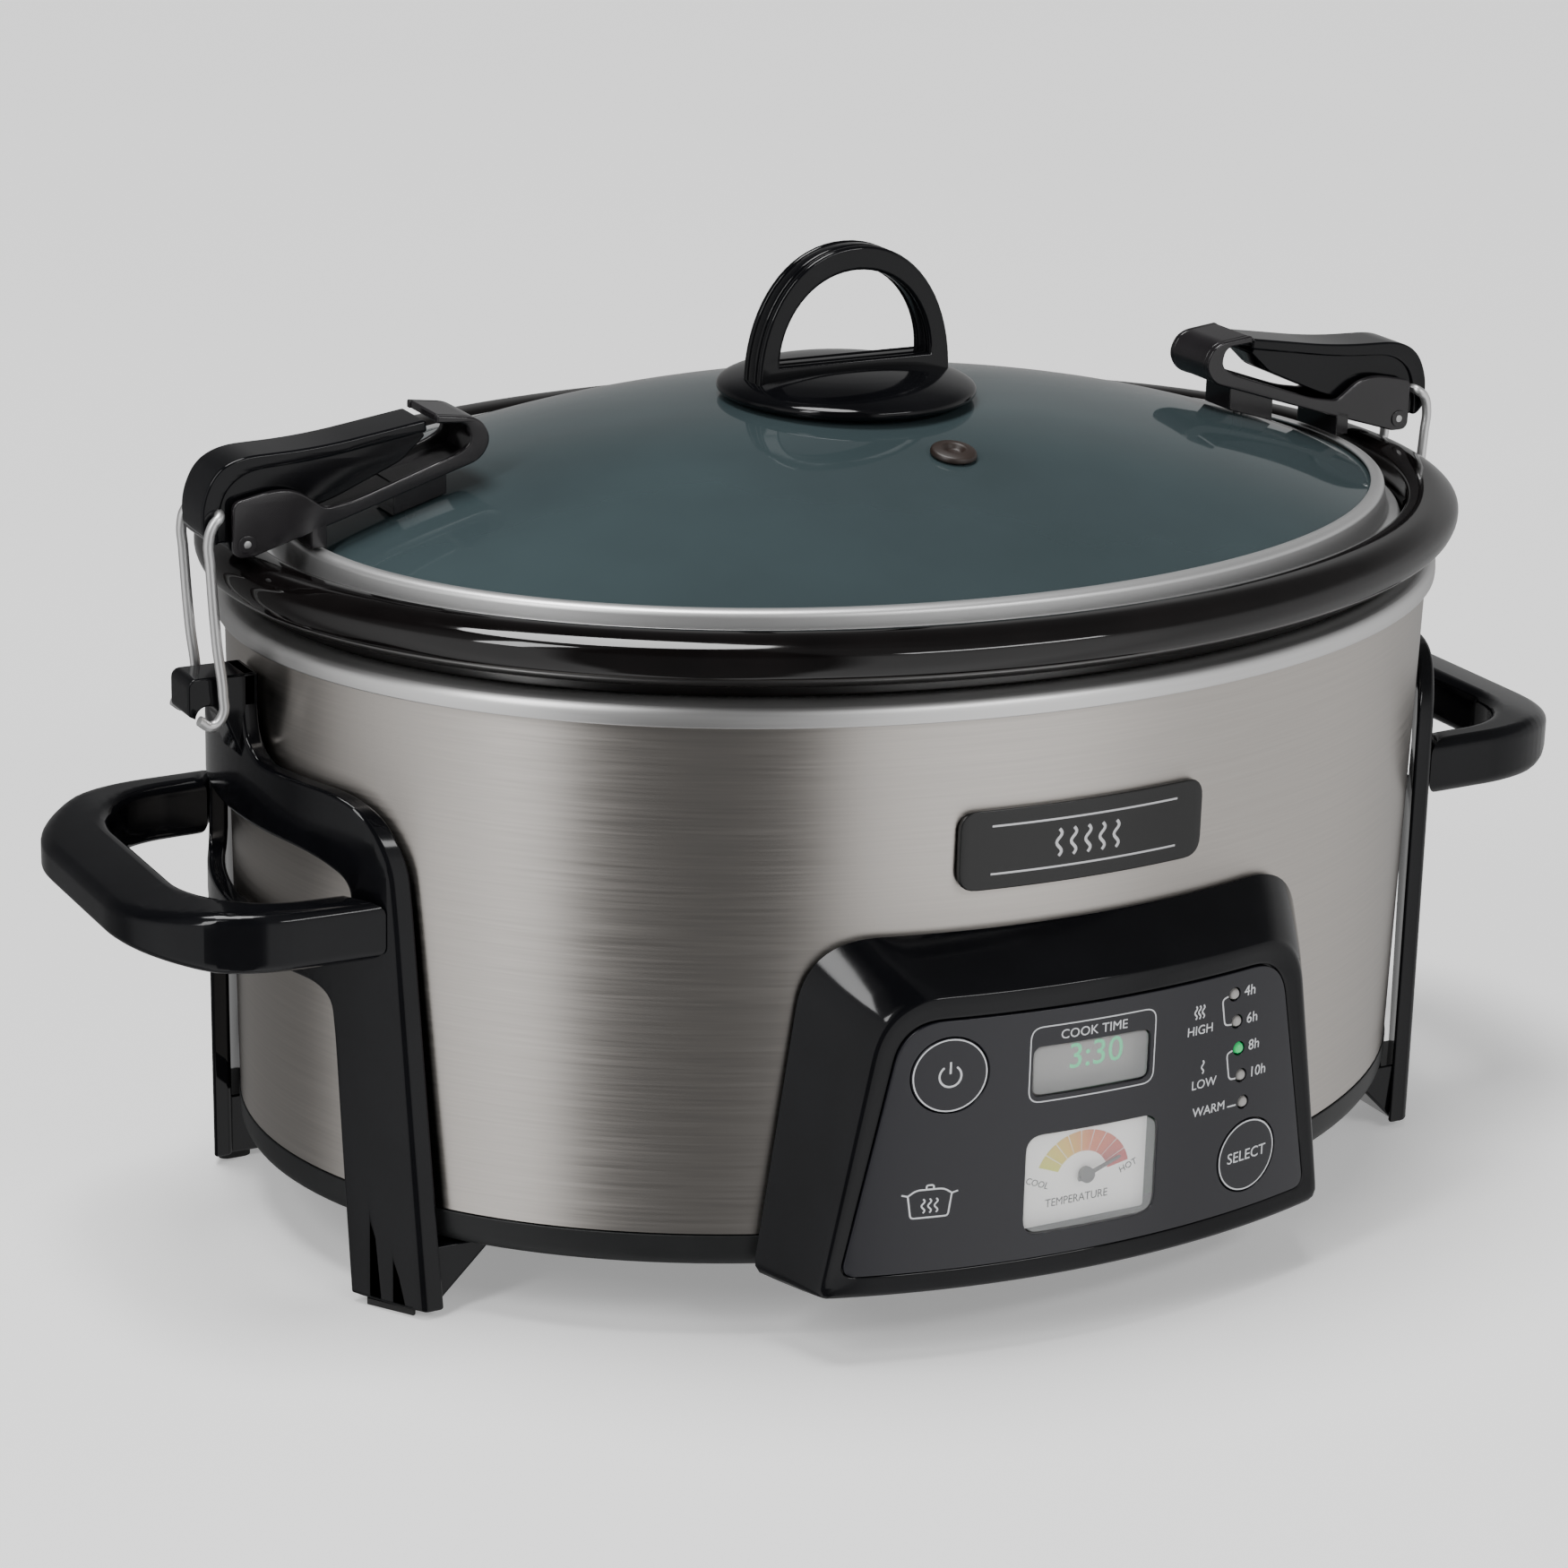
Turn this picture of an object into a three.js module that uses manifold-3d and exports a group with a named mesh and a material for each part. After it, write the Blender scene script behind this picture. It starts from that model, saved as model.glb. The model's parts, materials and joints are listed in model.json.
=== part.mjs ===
// An oval carry slow cooker: insulated base, lift-out stoneware crock and a clip-down glass lid.
// Millimetres. +X runs from handle to handle, the control panel faces -Y, +Z is up, the table is z = 0.
import * as THREE from "three";
import { mergeVertices } from "three/addons/utils/BufferGeometryUtils.js";
import Module from "manifold-3d";

const wasm = await Module();
wasm.setup();

// ---- driving sizes ----
const HALF_LONG = 163; // shell, half its length
const HALF_DEEP = 124; // shell, half its depth
const OVAL_STEPS = 32; // facets round the oval
const ROUND = 20; // facets round a small cylinder
const SLACK = 0.4; // play between pieces that move or fit together
const CUT = 400; // longer than anything it cuts

const TRAY = { bottom: 18.6, floor: 21.2, top: 26.9 };
const SHELL = { bottom: 27.3, top: 156, wall: 1.2, draft: 2.4 };
const FLANGE = { low: 156.4, top: 162, lip: 2.4 };
const WELL = { floor: 39, wall: 1.2, top: -9, foot: -16 };
const CROCK = { bottom: 41.2, inside: 48.5, ledge: 168.6, top: 179, lip: 7.4 };
const GLASS = { edge: -14.4, low: 178.4, rise: 26.2, thick: 4, power: 2.2 };
const HOUSING = { back: 0.6, front: 16, wall: 1.4, floor: 14, low: 17.5, crown: 5.4 };
const PANEL = { back: 14.3, front: 15.4 };
const FRAME = { inner: 0.6, outer: 5.2, top: 130.3 };
const HANDLE = { low: 91.6, high: 106.8, out: 209, start: 5.6 };
const LATCH = { half: 7, plateIn: 7.5, plateOut: 9.4, pin: [167.3, 184], link: [173.4, 191.4] };
const WIRE = { radius: 1.3, side: 9 };

// ---- finishes ----
const finish = (color, roughness, metalness) => ({ color, roughness, metalness });
const STEEL = finish(0xb9b4ae, 0.34, 1);
const BRIGHT = finish(0xd8d8d6, 0.25, 1);
const PLASTIC = finish(0x141416, 0.22, 0);
const CHARCOAL = finish(0x3a3a3d, 0.5, 0);
const GLAZE = finish(0x0d0c0c, 0.1, 0);
const CLEAR = finish(0x5d787b, 0.06, 0);
const RUBBER = finish(0x181818, 0.85, 0);
const BOARD = finish(0x1f4a2c, 0.6, 0);

// ---- solids ----
function solid(geometry) {
  const bare = geometry.clone();
  bare.deleteAttribute("normal");
  bare.deleteAttribute("uv");
  const merged = mergeVertices(bare, 1e-4);
  const index = new Uint32Array(merged.index.array);
  const build = () =>
    new wasm.Manifold(
      new wasm.Mesh({ numProp: 3, vertProperties: merged.attributes.position.array, triVerts: index }),
    );
  let made = build();
  if (made.volume() < 0) {
    for (let i = 0; i < index.length; i += 3)
      [index[i + 1], index[i + 2]] = [index[i + 2], index[i + 1]];
    made = build();
  }
  return made;
}

const join = (...list) => list.reduce((a, b) => a.add(b));
const cut = (body, ...tools) => tools.reduce((a, b) => a.subtract(b), body);
const both = (a, b) => a.intersect(b);

const group = new THREE.Group();
group.name = "slow_cooker";

function part(name, body, look) {
  const data = body.getMesh();
  const geometry = new THREE.BufferGeometry()
    .setAttribute("position", new THREE.BufferAttribute(data.vertProperties, 3))
    .setIndex(new THREE.BufferAttribute(data.triVerts, 1));
  const mesh = new THREE.Mesh(geometry, new THREE.MeshStandardMaterial(look));
  mesh.name = name;
  group.add(mesh);
}

// Turns a profile of [offset, z] round the oval. An offset of 0 is the shell's own outline.
function oval(profile, stretch = "offset") {
  const points = profile.map(([d, z]) => new THREE.Vector2(d === null ? 0 : HALF_DEEP + d, z));
  if (profile[0][0] !== null) points.push(points[0].clone());
  const g = new THREE.LatheGeometry(points, OVAL_STEPS);
  g.rotateX(Math.PI / 2);
  const p = g.attributes.position;
  const edge = HALF_DEEP + GLASS.edge;
  for (let i = 0; i < p.count; i++) {
    const x = p.getX(i);
    const r = Math.hypot(x, p.getY(i));
    if (r < 1e-6) continue;
    const grow = stretch === "offset" ? (HALF_LONG - HALF_DEEP) / r : (HALF_LONG - HALF_DEEP) / edge;
    p.setX(i, x * (1 + grow));
  }
  return solid(g);
}

const ring = (inner, outer, low, high) =>
  oval([[inner, low], [outer, low], [outer, high], [inner, high]]);

// Straight extrusions: an outline drawn in one plane, pushed along the third axis.
const extrude = (shape, depth, curveSegments = 8) =>
  new THREE.ExtrudeGeometry(shape, { depth, bevelEnabled: false, curveSegments });

// outline in (x, z), pushed along y from y0 to y1
function alongY(shape, y0, y1, steps) {
  const g = extrude(shape, y1 - y0, steps);
  g.rotateX(Math.PI / 2);
  g.translate(0, y1, 0);
  return solid(g);
}

// outline in (y, z), pushed along x from x0 to x1
function alongX(shape, x0, x1, steps) {
  const g = extrude(shape, x1 - x0, steps);
  g.applyMatrix4(new THREE.Matrix4().set(0, 0, 1, x0, 1, 0, 0, 0, 0, 1, 0, 0, 0, 0, 0, 1));
  return solid(g);
}

// outline in (x, y), pushed along z from z0 to z1
function alongZ(shape, z0, z1, steps) {
  const g = extrude(shape, z1 - z0, steps);
  g.translate(0, 0, z0);
  return solid(g);
}

function roundedBox(width, height, radius, cx = 0, cy = 0) {
  const s = new THREE.Shape();
  const [x, y] = [cx - width / 2, cy - height / 2];
  s.moveTo(x + radius, y);
  s.lineTo(x + width - radius, y);
  s.absarc(x + width - radius, y + radius, radius, -Math.PI / 2, 0);
  s.lineTo(x + width, y + height - radius);
  s.absarc(x + width - radius, y + height - radius, radius, 0, Math.PI / 2);
  s.lineTo(x + radius, y + height);
  s.absarc(x + radius, y + height - radius, radius, Math.PI / 2, Math.PI);
  s.lineTo(x, y + radius);
  s.absarc(x + radius, y + radius, radius, Math.PI, 1.5 * Math.PI);
  return s;
}

// A polygon whose corners are rounded by the radius given with each point: [x, y, radius].
function rounded(points) {
  const s = new THREE.Shape();
  const n = points.length;
  points.forEach(([x, y, r = 0], i) => {
    const here = new THREE.Vector2(x, y);
    const toward = (q) => {
      const run = new THREE.Vector2(q[0], q[1]).sub(here);
      return run.setLength(Math.min(r, run.length() * 0.48)).add(here);
    };
    const a = toward(points[(i + n - 1) % n]);
    const b = toward(points[(i + 1) % n]);
    if (i === 0) s.moveTo(a.x, a.y);
    else s.lineTo(a.x, a.y);
    if (r > 0) s.quadraticCurveTo(x, y, b.x, b.y);
  });
  s.closePath();
  return s;
}

function disc(radius, length, steps = ROUND) {
  return solid(new THREE.CylinderGeometry(radius, radius, length, steps).rotateX(Math.PI / 2));
}

// A turned piece from [radius, z] pairs that start and end on its axis.
function turned(profile, steps = ROUND) {
  const points = profile.map(([r, z]) => new THREE.Vector2(r, z));
  return solid(new THREE.LatheGeometry(points, steps).rotateX(Math.PI / 2));
}

const rodY = (radius, x, z, y0, y1, steps = ROUND) =>
  disc(radius, y1 - y0, steps).rotate([90, 0, 0]).translate([x, (y0 + y1) / 2, z]);

const rodZ = (radius, x, y, z0, z1, steps = ROUND) =>
  disc(radius, z1 - z0, steps).translate([x, y, (z0 + z1) / 2]);

const mirrorX = (body) => body.mirror([1, 0, 0]);
const mirrorY = (body) => body.mirror([0, 1, 0]);

// Height of the glass over its own edge at the point (x, y).
function glassTop(x, y) {
  const out = Math.hypot(x / (HALF_LONG + GLASS.edge), y / (HALF_DEEP + GLASS.edge));
  return GLASS.low + GLASS.rise * (1 - out ** GLASS.power);
}

// ---- base ----
function buildBase() {
  const lip = { out: -4.1, in: -6, top: 33 };
  let tray = oval([
    [null, TRAY.bottom], [-3.4, TRAY.bottom], [-2.4, TRAY.floor], [-2.2, TRAY.top], [lip.out, TRAY.top],
    [lip.out, lip.top], [lip.in, lip.top], [lip.in, TRAY.floor], [null, TRAY.floor],
  ]);
  const low = -SHELL.draft;
  let shell = oval([[low, SHELL.bottom], [0, SHELL.top], [-SHELL.wall, SHELL.top],
      [low - SHELL.wall, SHELL.bottom]]);
  const cordHole = rodY(CORD.hole, CORD.x, CORD.z, HALF_DEEP - 12, HALF_DEEP + 6);
  shell = cut(shell, cordHole);

  const w = WELL.wall;
  const well = oval([
    [null, WELL.floor], [WELL.foot - 3, WELL.floor], [WELL.foot, WELL.floor + 3],
        [WELL.top, FLANGE.top - 1.4],
    [WELL.top + 1.4, FLANGE.top], [-0.6, FLANGE.top], [1.6, FLANGE.top - 1], [FLANGE.lip, FLANGE.top - 3.2],
    [2, FLANGE.low], [0.9, FLANGE.low], [0.6, FLANGE.top - 2.6], [-0.9, FLANGE.top - w],
    [WELL.top + 2.4, FLANGE.top - w], [WELL.top + w, FLANGE.top - 2.4], [WELL.foot + w, WELL.floor + 2.6],
    [WELL.foot - 2.6, WELL.floor - w], [null, WELL.floor - w],
  ]);

  for (const sx of [-1, 1])
    for (const sy of [-1, 1]) tray = cut(tray, rodZ(2.3, sx * FOOT.screwX, sy * FOOT.screwY, 0, 40));

  part("base_tray", tray, CHARCOAL);
  part("outer_shell", shell, STEEL);
  part("heating_well", well, BRIGHT);
  part("heat_shield", cut(oval([[null, 21.6], [-9, 21.6], [-9, 22.6],
      [null, 22.6]]), footScrewClearance()), STEEL);
  part("heater_band", oval([[-14.1, 45], [-12.3, 45], [-9.9, 85], [-11.7, 85]]), BRIGHT);
  part("insulation_blanket", oval([[-8.4, 44], [-4.2, 44], [-2.4, 150],
      [-6.6, 150]]), finish(0xd9d4c4, 0.95, 0));
  part("temperature_probe", turned([[0, 23], [7, 23], [7, 31], [5, 31], [5, 37.4], [0, 37.4]]), BRIGHT);

  const along = (radius, from, to) => rodY(radius, CORD.x, CORD.z, HALF_DEEP + from, HALF_DEEP + to);
  const gland = join(along(CORD.flange, -1.8, 3.4), along(CORD.stem, -3.9, 1));
  part("cord_gland", cut(gland, along(CORD.bore, -8, 8)), PLASTIC);

  const badge = both(ring(0, 1.3, 100, 150), alongY(roundedBox(BADGE.width, BADGE.height, 5, 0, BADGE.z),
      -CUT, 0, 3));
  part("name_badge", badge, PLASTIC);
}

const CORD = { x: 0, z: 38.4, bore: 3.4, stem: 4.9, hole: 5.4, flange: 8 };
const BADGE = { width: 68, height: 20, z: 123.4 };
const FOOT = { screwX: 136, screwY: 51, pad: [8, 12], padTop: 1.6 };

function footScrewClearance() {
  const holes = [];
  for (const sx of [-1, 1])
    for (const sy of [-1, 1]) holes.push(rodZ(4, sx * FOOT.screwX, sy * FOOT.screwY, 0, 60));
  return join(...holes);
}

// ---- leg frames and handles, drawn at the +X end ----
function legFrame() {
  const side = [
    [22, FRAME.top, 6], [47, FRAME.top, 11], [56.6, 118, 8], [58, 103, 3], [64.8, 0, 0.5], [45.8, 0, 0.5],
    [41.4, 68, 1], [40, 80.6, 9],
  ];
  const left = side.map(([y, z, r]) => [-y, z, r]).reverse();
  const plate = rounded([...side, ...left]);
  const opening = rounded([[-45, 89.4, 4], [45, 89.4, 4], [46.5, 109, 3], [34, 113.6, 9], [-34, 113.6, 9],
      [-46.5, 109, 3]]);
  const wrap = ring(FRAME.inner, FRAME.outer, FOOT.padTop + 0.3, FRAME.top + 30);
  const neck = rounded([[-14, FRAME.top - 3, 1], [14, FRAME.top - 3, 1], [8, 134, 3], [6, 140, 2],
      [6, 150.8, 0.5], [-6, 150.8, 0.5], [-6, 140, 2], [-8, 134, 3]]);
  let frame = both(wrap, join(alongX(plate, 100, CUT, 3), alongX(neck, 100, CUT, 2)));
  frame = cut(frame, alongX(opening, 100, CUT, 3));

  // the block that the lid wires hook under
  const block = rounded([
    [163.6, 150.8], [180.6, 150.8, 1], [181.6, 149.4, 1], [181.6, 142, 1], [180, 140.6, 1],
        [173.4, 140.6, 0.5], [167, 127.5, 0.5], [163.6, 127.5],
  ]);
  let post = alongY(block, -6, 6, 3);
  post = cut(post, rodY(3, 176.6, 140.6, -8, 8, 16), ring(-20, FRAME.inner, 100, 160));

  // each leg turns in under the base
  const toe = rounded([[142.5, FOOT.padTop + 0.3, 1], [158, FOOT.padTop + 0.3], [158, 18.2],
      [126, 18.2, 0.5]]);
  let frameAll = join(frame, post);
  for (const s of [-1, 1]) {
    const y = [46, 63.5].map((v) => v * s).sort((a, b) => a - b);
    const foot = both(alongY(toe, y[0], y[1], 3), ring(-60, FRAME.outer, 0, 30));
    frameAll = join(frameAll, foot);
    frameAll = cut(frameAll, rodZ(2, FOOT.screwX, s * FOOT.screwY, 0, 40), rodZ(3.9, FOOT.screwX,
        s * FOOT.screwY, 0, 12.6));
  }
  return frameAll;
}

function handle() {
  const out = HANDLE.out;
  const outer = [[140, -56.2], [189, -55, 15], [out, -33, 13], [out, 33, 13], [189, 55, 15], [140, 56.2]];
  const hole = [[140, -45.6], [178, -44.6, 12], [191.4, -30, 10], [191.4, 30, 10], [178, 44.6, 12],
      [140, 45.6]];
  const bar = alongZ(rounded(outer), HANDLE.low, HANDLE.high, 5);
  const gap = alongZ(rounded(hole), HANDLE.low - 2, HANDLE.high + 2, 5);
  // the grip's top falls away to its outer edge and its underside rises to it
  const fall = alongY(rounded([[198, HANDLE.high + 1], [out + 4, HANDLE.high + 1],
      [out + 4, 101.4]]), -CUT, CUT);
  const rise = alongY(rounded([[199, HANDLE.low - 1], [out + 4, HANDLE.low - 1],
      [out + 4, 96.4]]), -CUT, CUT);
  return cut(bar, gap, fall, rise, ring(-40, HANDLE.start, 80, 120));
}

function buildFrames() {
  const frame = legFrame();
  const grip = handle();
  part("right_leg_frame", frame, PLASTIC);
  part("left_leg_frame", mirrorX(frame), PLASTIC);
  part("right_handle", grip, PLASTIC);
  part("left_handle", mirrorX(grip), PLASTIC);

  const pad = both(alongZ(roundedBox(9, 13, 2.5, 150, 54.6), 0, FOOT.padTop, 3), ring(-20,
      FRAME.outer - 0.6, -1, 5));
  const screw = turned([[0, 9.2], [3.4, 9.2], [3.4, 12.2], [1.7, 12.2], [1.7, 25.5],
      [0, 25.5]], 12).translate([FOOT.screwX, FOOT.screwY, 0]);
  for (const [sx, side] of [[-1, "left"], [1, "right"]])
    for (const [sy, end] of [[-1, "front"], [1, "back"]]) {
      const place = (body) => {
        const across = sx < 0 ? mirrorX(body) : body;
        return sy < 0 ? mirrorY(across) : across;
      };
      part(`foot_pad_${side}_${end}`, place(pad), RUBBER);
      part(`foot_screw_${side}_${end}`, place(screw), BRIGHT);
    }
}

// ---- control housing ----
// Each face is [half width at the foot, half width at the top, foot z, top z].
function frontFace([low, high, z0, z1], foot, shoulder) {
  const middle = [0.5, 0, -0.5].map((share) => [share * high, z1]);
  return rounded([[-low, z0, foot], [low, z0, foot], [high, z1, shoulder], ...middle, [-high, z1,
      shoulder]]);
}

// A block whose front face at y = -150 tapers from a wider back face at y = -100. Its top is crowned, so
// that its edge stays level where it meets the curve of the shell and of the panel.
function taperedBlock(back, front, foot, shoulder) {
  const g = extrude(frontFace(front, foot, shoulder), 50, 4);
  g.rotateX(Math.PI / 2);
  g.translate(0, -100, 0);
  const p = g.attributes.position;
  for (let i = 0; i < p.count; i++) {
    const t = (-100 - p.getY(i)) / 50; // 0 at the back, 1 at the front
    const up = (p.getZ(i) - front[2]) / (front[3] - front[2]);
    const halfFront = front[0] + (front[1] - front[0]) * up;
    const halfBack = back[0] + (back[1] - back[0]) * up;
    const across = p.getX(i) / halfFront;
    p.setX(i, across * (halfBack + (halfFront - halfBack) * t));
    const zBack = back[2] + (back[3] - back[2]) * up;
    p.setZ(i, zBack + (p.getZ(i) - zBack) * t + HOUSING.crown * up * (1 - across ** 2));
  }
  return solid(g);
}

// A point on the oval at offset d, with the turn that makes local z face outward.
function onFront(x, d) {
  const [a, b] = [HALF_LONG + d, HALF_DEEP + d];
  const y = -b * Math.sqrt(1 - (x / a) ** 2);
  const turn = (Math.atan2(x / a ** 2, -y / b ** 2) * 180) / Math.PI;
  return { y, turn };
}

// A local solid drawn with z outward (0 = the shell's outline), set on the front at (x, z).
function setOnFront(body, x, z) {
  const { y, turn } = onFront(x, PANEL.front);
  return body.translate([0, 0, -PANEL.front]).rotate([90, 0, 0]).rotate([0, 0, turn]).translate([x, y, z]);
}

const POWER = { x: -41.7, z: 73.2, radius: 9.5 };
const SELECT = { x: 44.6, z: 37.3, radius: 9.5 };
const SCREEN = { x: -4.4, z: 71.3, width: 31.6, height: 12 };
const GAUGE = { x: -3, z: 42, width: 36, height: 25 };
const PIVOT = { x: -2.4, z: 40.8 };
// the lamps stand in a row that leans with the panel's right edge
const LAMPS = ["led_4h", "led_6h", "led_8h", "led_10h", "led_warm"].map((name, i) => ({
  name, x: 37.5 + 1.2 * i, z: 81.3 - 7.35 * i,
}));
const BOARD_FACE = -126.8;

function opening(size, x, z, radius, grow = 0) {
  return alongY(roundedBox(size[0] + 2 * grow, size[1] + 2 * grow, radius + grow, x, z), -CUT, -100, 3);
}

function button({ x, z, radius }) {
  const cap = disc(radius, 5).translate([0, 0, 13.3]);
  const collar = disc(radius + 1.3, 1.2).translate([0, 0, 10.4]);
  const stem = disc(3, 1).translate([0, 0, 9.7]);
  return setOnFront(join(cap, collar, stem), x, z);
}

function buttonHole({ x, z, radius }, grow) {
  return setOnFront(disc(radius + grow, 12).translate([0, 0, 14]), x, z);
}

function buildControls() {
  const faceBack = [84, 76, HOUSING.low, 115];
  const faceFront = [66, 50, HOUSING.low, 79.3];
  const thin = (f, t) => [f[0] - t, f[1] - t, f[2] + t, f[3] - t];
  const block = taperedBlock(faceBack, faceFront, 3, 12);
  const inside = taperedBlock(thin(faceBack, 3), thin(faceFront, 3), 2, 9);
  const hollow = both(inside, ring(-30, HOUSING.floor - HOUSING.wall, 0, 120));
  const panelShape = frontFace([67.4, 53, 22.6, 86.6], 3, 7);
  const recess = both(ring(HOUSING.floor, 30, 10, 110), alongY(panelShape, -CUT, -80, 4));

  const openings = [
    opening([SCREEN.width - 2, SCREEN.height - 2], SCREEN.x, SCREEN.z, 1),
    opening([GAUGE.width - 2, GAUGE.height - 2], GAUGE.x, GAUGE.z, 3),
    buttonHole(POWER, SLACK), buttonHole(SELECT, SLACK),
    ...LAMPS.map(({ x, z }) => rodY(1.9, x, z, -CUT, -100, 12)),
  ];
  const housing = cut(both(block, ring(HOUSING.back, HOUSING.front, 0, 120)), hollow, recess, ...openings);
  part("control_housing", housing, PLASTIC);

  const panelFit = frontFace([67, 52.6, 23, 86.2], 3, 7);
  let panel = both(ring(PANEL.back, PANEL.front, 10, 110), alongY(panelFit, -CUT, -80, 4));
  panel = cut(
    panel,
    opening([SCREEN.width, SCREEN.height], SCREEN.x, SCREEN.z, 2, SLACK),
    opening([GAUGE.width, GAUGE.height], GAUGE.x, GAUGE.z, 4, SLACK),
    buttonHole(POWER, SLACK), buttonHole(SELECT, SLACK),
    ...LAMPS.map(({ x, z }) => rodY(1.9, x, z, -CUT, -100, 12)),
  );
  part("control_panel", panel, PLASTIC);

  const pane = ring(PANEL.back, PANEL.front - 0.3, 10, 110);
  part("display_lens", both(pane, opening([SCREEN.width, SCREEN.height], SCREEN.x, SCREEN.z, 2)), CLEAR);
  part("gauge_lens", both(pane, opening([GAUGE.width, GAUGE.height], GAUGE.x, GAUGE.z, 4)), CLEAR);

  const box = (w, h, x, z, y0, y1, r = 0.8) => alongY(roundedBox(w, h, r, x, z), y0, y1, 2);
  const faceY = -134.5;
  part("display_module", box(36, 17, SCREEN.x, SCREEN.z + 0.5, -134.4, BOARD_FACE - SLACK),
      finish(0x86837d, 0.4, 0));
  part("gauge_face", cut(box(36, 26, GAUGE.x, GAUGE.z, faceY, faceY + 0.9), rodY(1.4, PIVOT.x, PIVOT.z,
      -140, -130, 12)), finish(0xf2f0ec, 0.5, 0));
  part("gauge_body", cut(box(30, 22, GAUGE.x, GAUGE.z, faceY + 1.3, BOARD_FACE - SLACK), rodY(1.4,
      PIVOT.x, PIVOT.z, -140, -130, 12)), CHARCOAL);

  const hub = join(rodY(2, 0, 0, -136.6, -135, 12), rodY(0.9, 0, 0, -136, -130.5, 12));
  const arm = alongY(rounded([[-2.6, -0.5], [-2.6, 0.5], [9.4, 0.35], [10, 0],
      [9.4, -0.35]]), -136.3, -135.7);
  part("gauge_needle", join(hub, arm).rotate([0, -20, 0]).translate([PIVOT.x, 0, PIVOT.z]),
      finish(0x2a2a2a, 0.4, 0));

  part("power_button", button(POWER), PLASTIC);
  part("select_button", button(SELECT), PLASTIC);
  for (const { name, x, z } of LAMPS) {
    const tip = onFront(x, PANEL.front + 0.4).y;
    const look = name === "led_8h" ? finish(0x1fae52, 0.2, 0) : finish(0x8f8d88, 0.25, 0);
    part(name, rodY(1.5, x, z, tip, BOARD_FACE - SLACK, 12), look);
  }
  part("control_board", box(104, 62, 0, 59, BOARD_FACE, BOARD_FACE + 1.6, 2), BOARD);
  for (const [name, at] of [["power_switch", POWER], ["select_switch", SELECT]]) {
    const top = onFront(at.x, 7.7).y;
    part(name, box(6, 6, at.x, at.z, top, BOARD_FACE - SLACK), CHARCOAL);
  }
}

// ---- crock ----
function buildCrock() {
  const c = CROCK;
  part("stoneware_crock", oval([
    [null, c.bottom], [-27, c.bottom], [-21.4, c.bottom + 5], [-12.4, 159], [-12.2, FLANGE.top + 0.3],
        [-4, FLANGE.top + 0.3],
    [-3, 166.1], [1.5, 166.1], [4.6, 168], [7, 171.4], [c.lip, 173.8], [6, 176.8], [2.6, 178.6],
        [-2, c.top], [-5.6, 178.2],
    [-6.8, 175.8], [-7, c.ledge], [-14.6, c.ledge], [-18.6, 166], [-19.4, 161], [-27, 57],
        [-34, c.inside], [null, c.inside],
  ]), GLAZE);
}

// ---- lid ----
const VENT = { x: 2, y: -52 };
const KNOB_TOP = 243;
const CLIP_SCREW = 121; // where each clip is screwed through the glass

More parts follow.
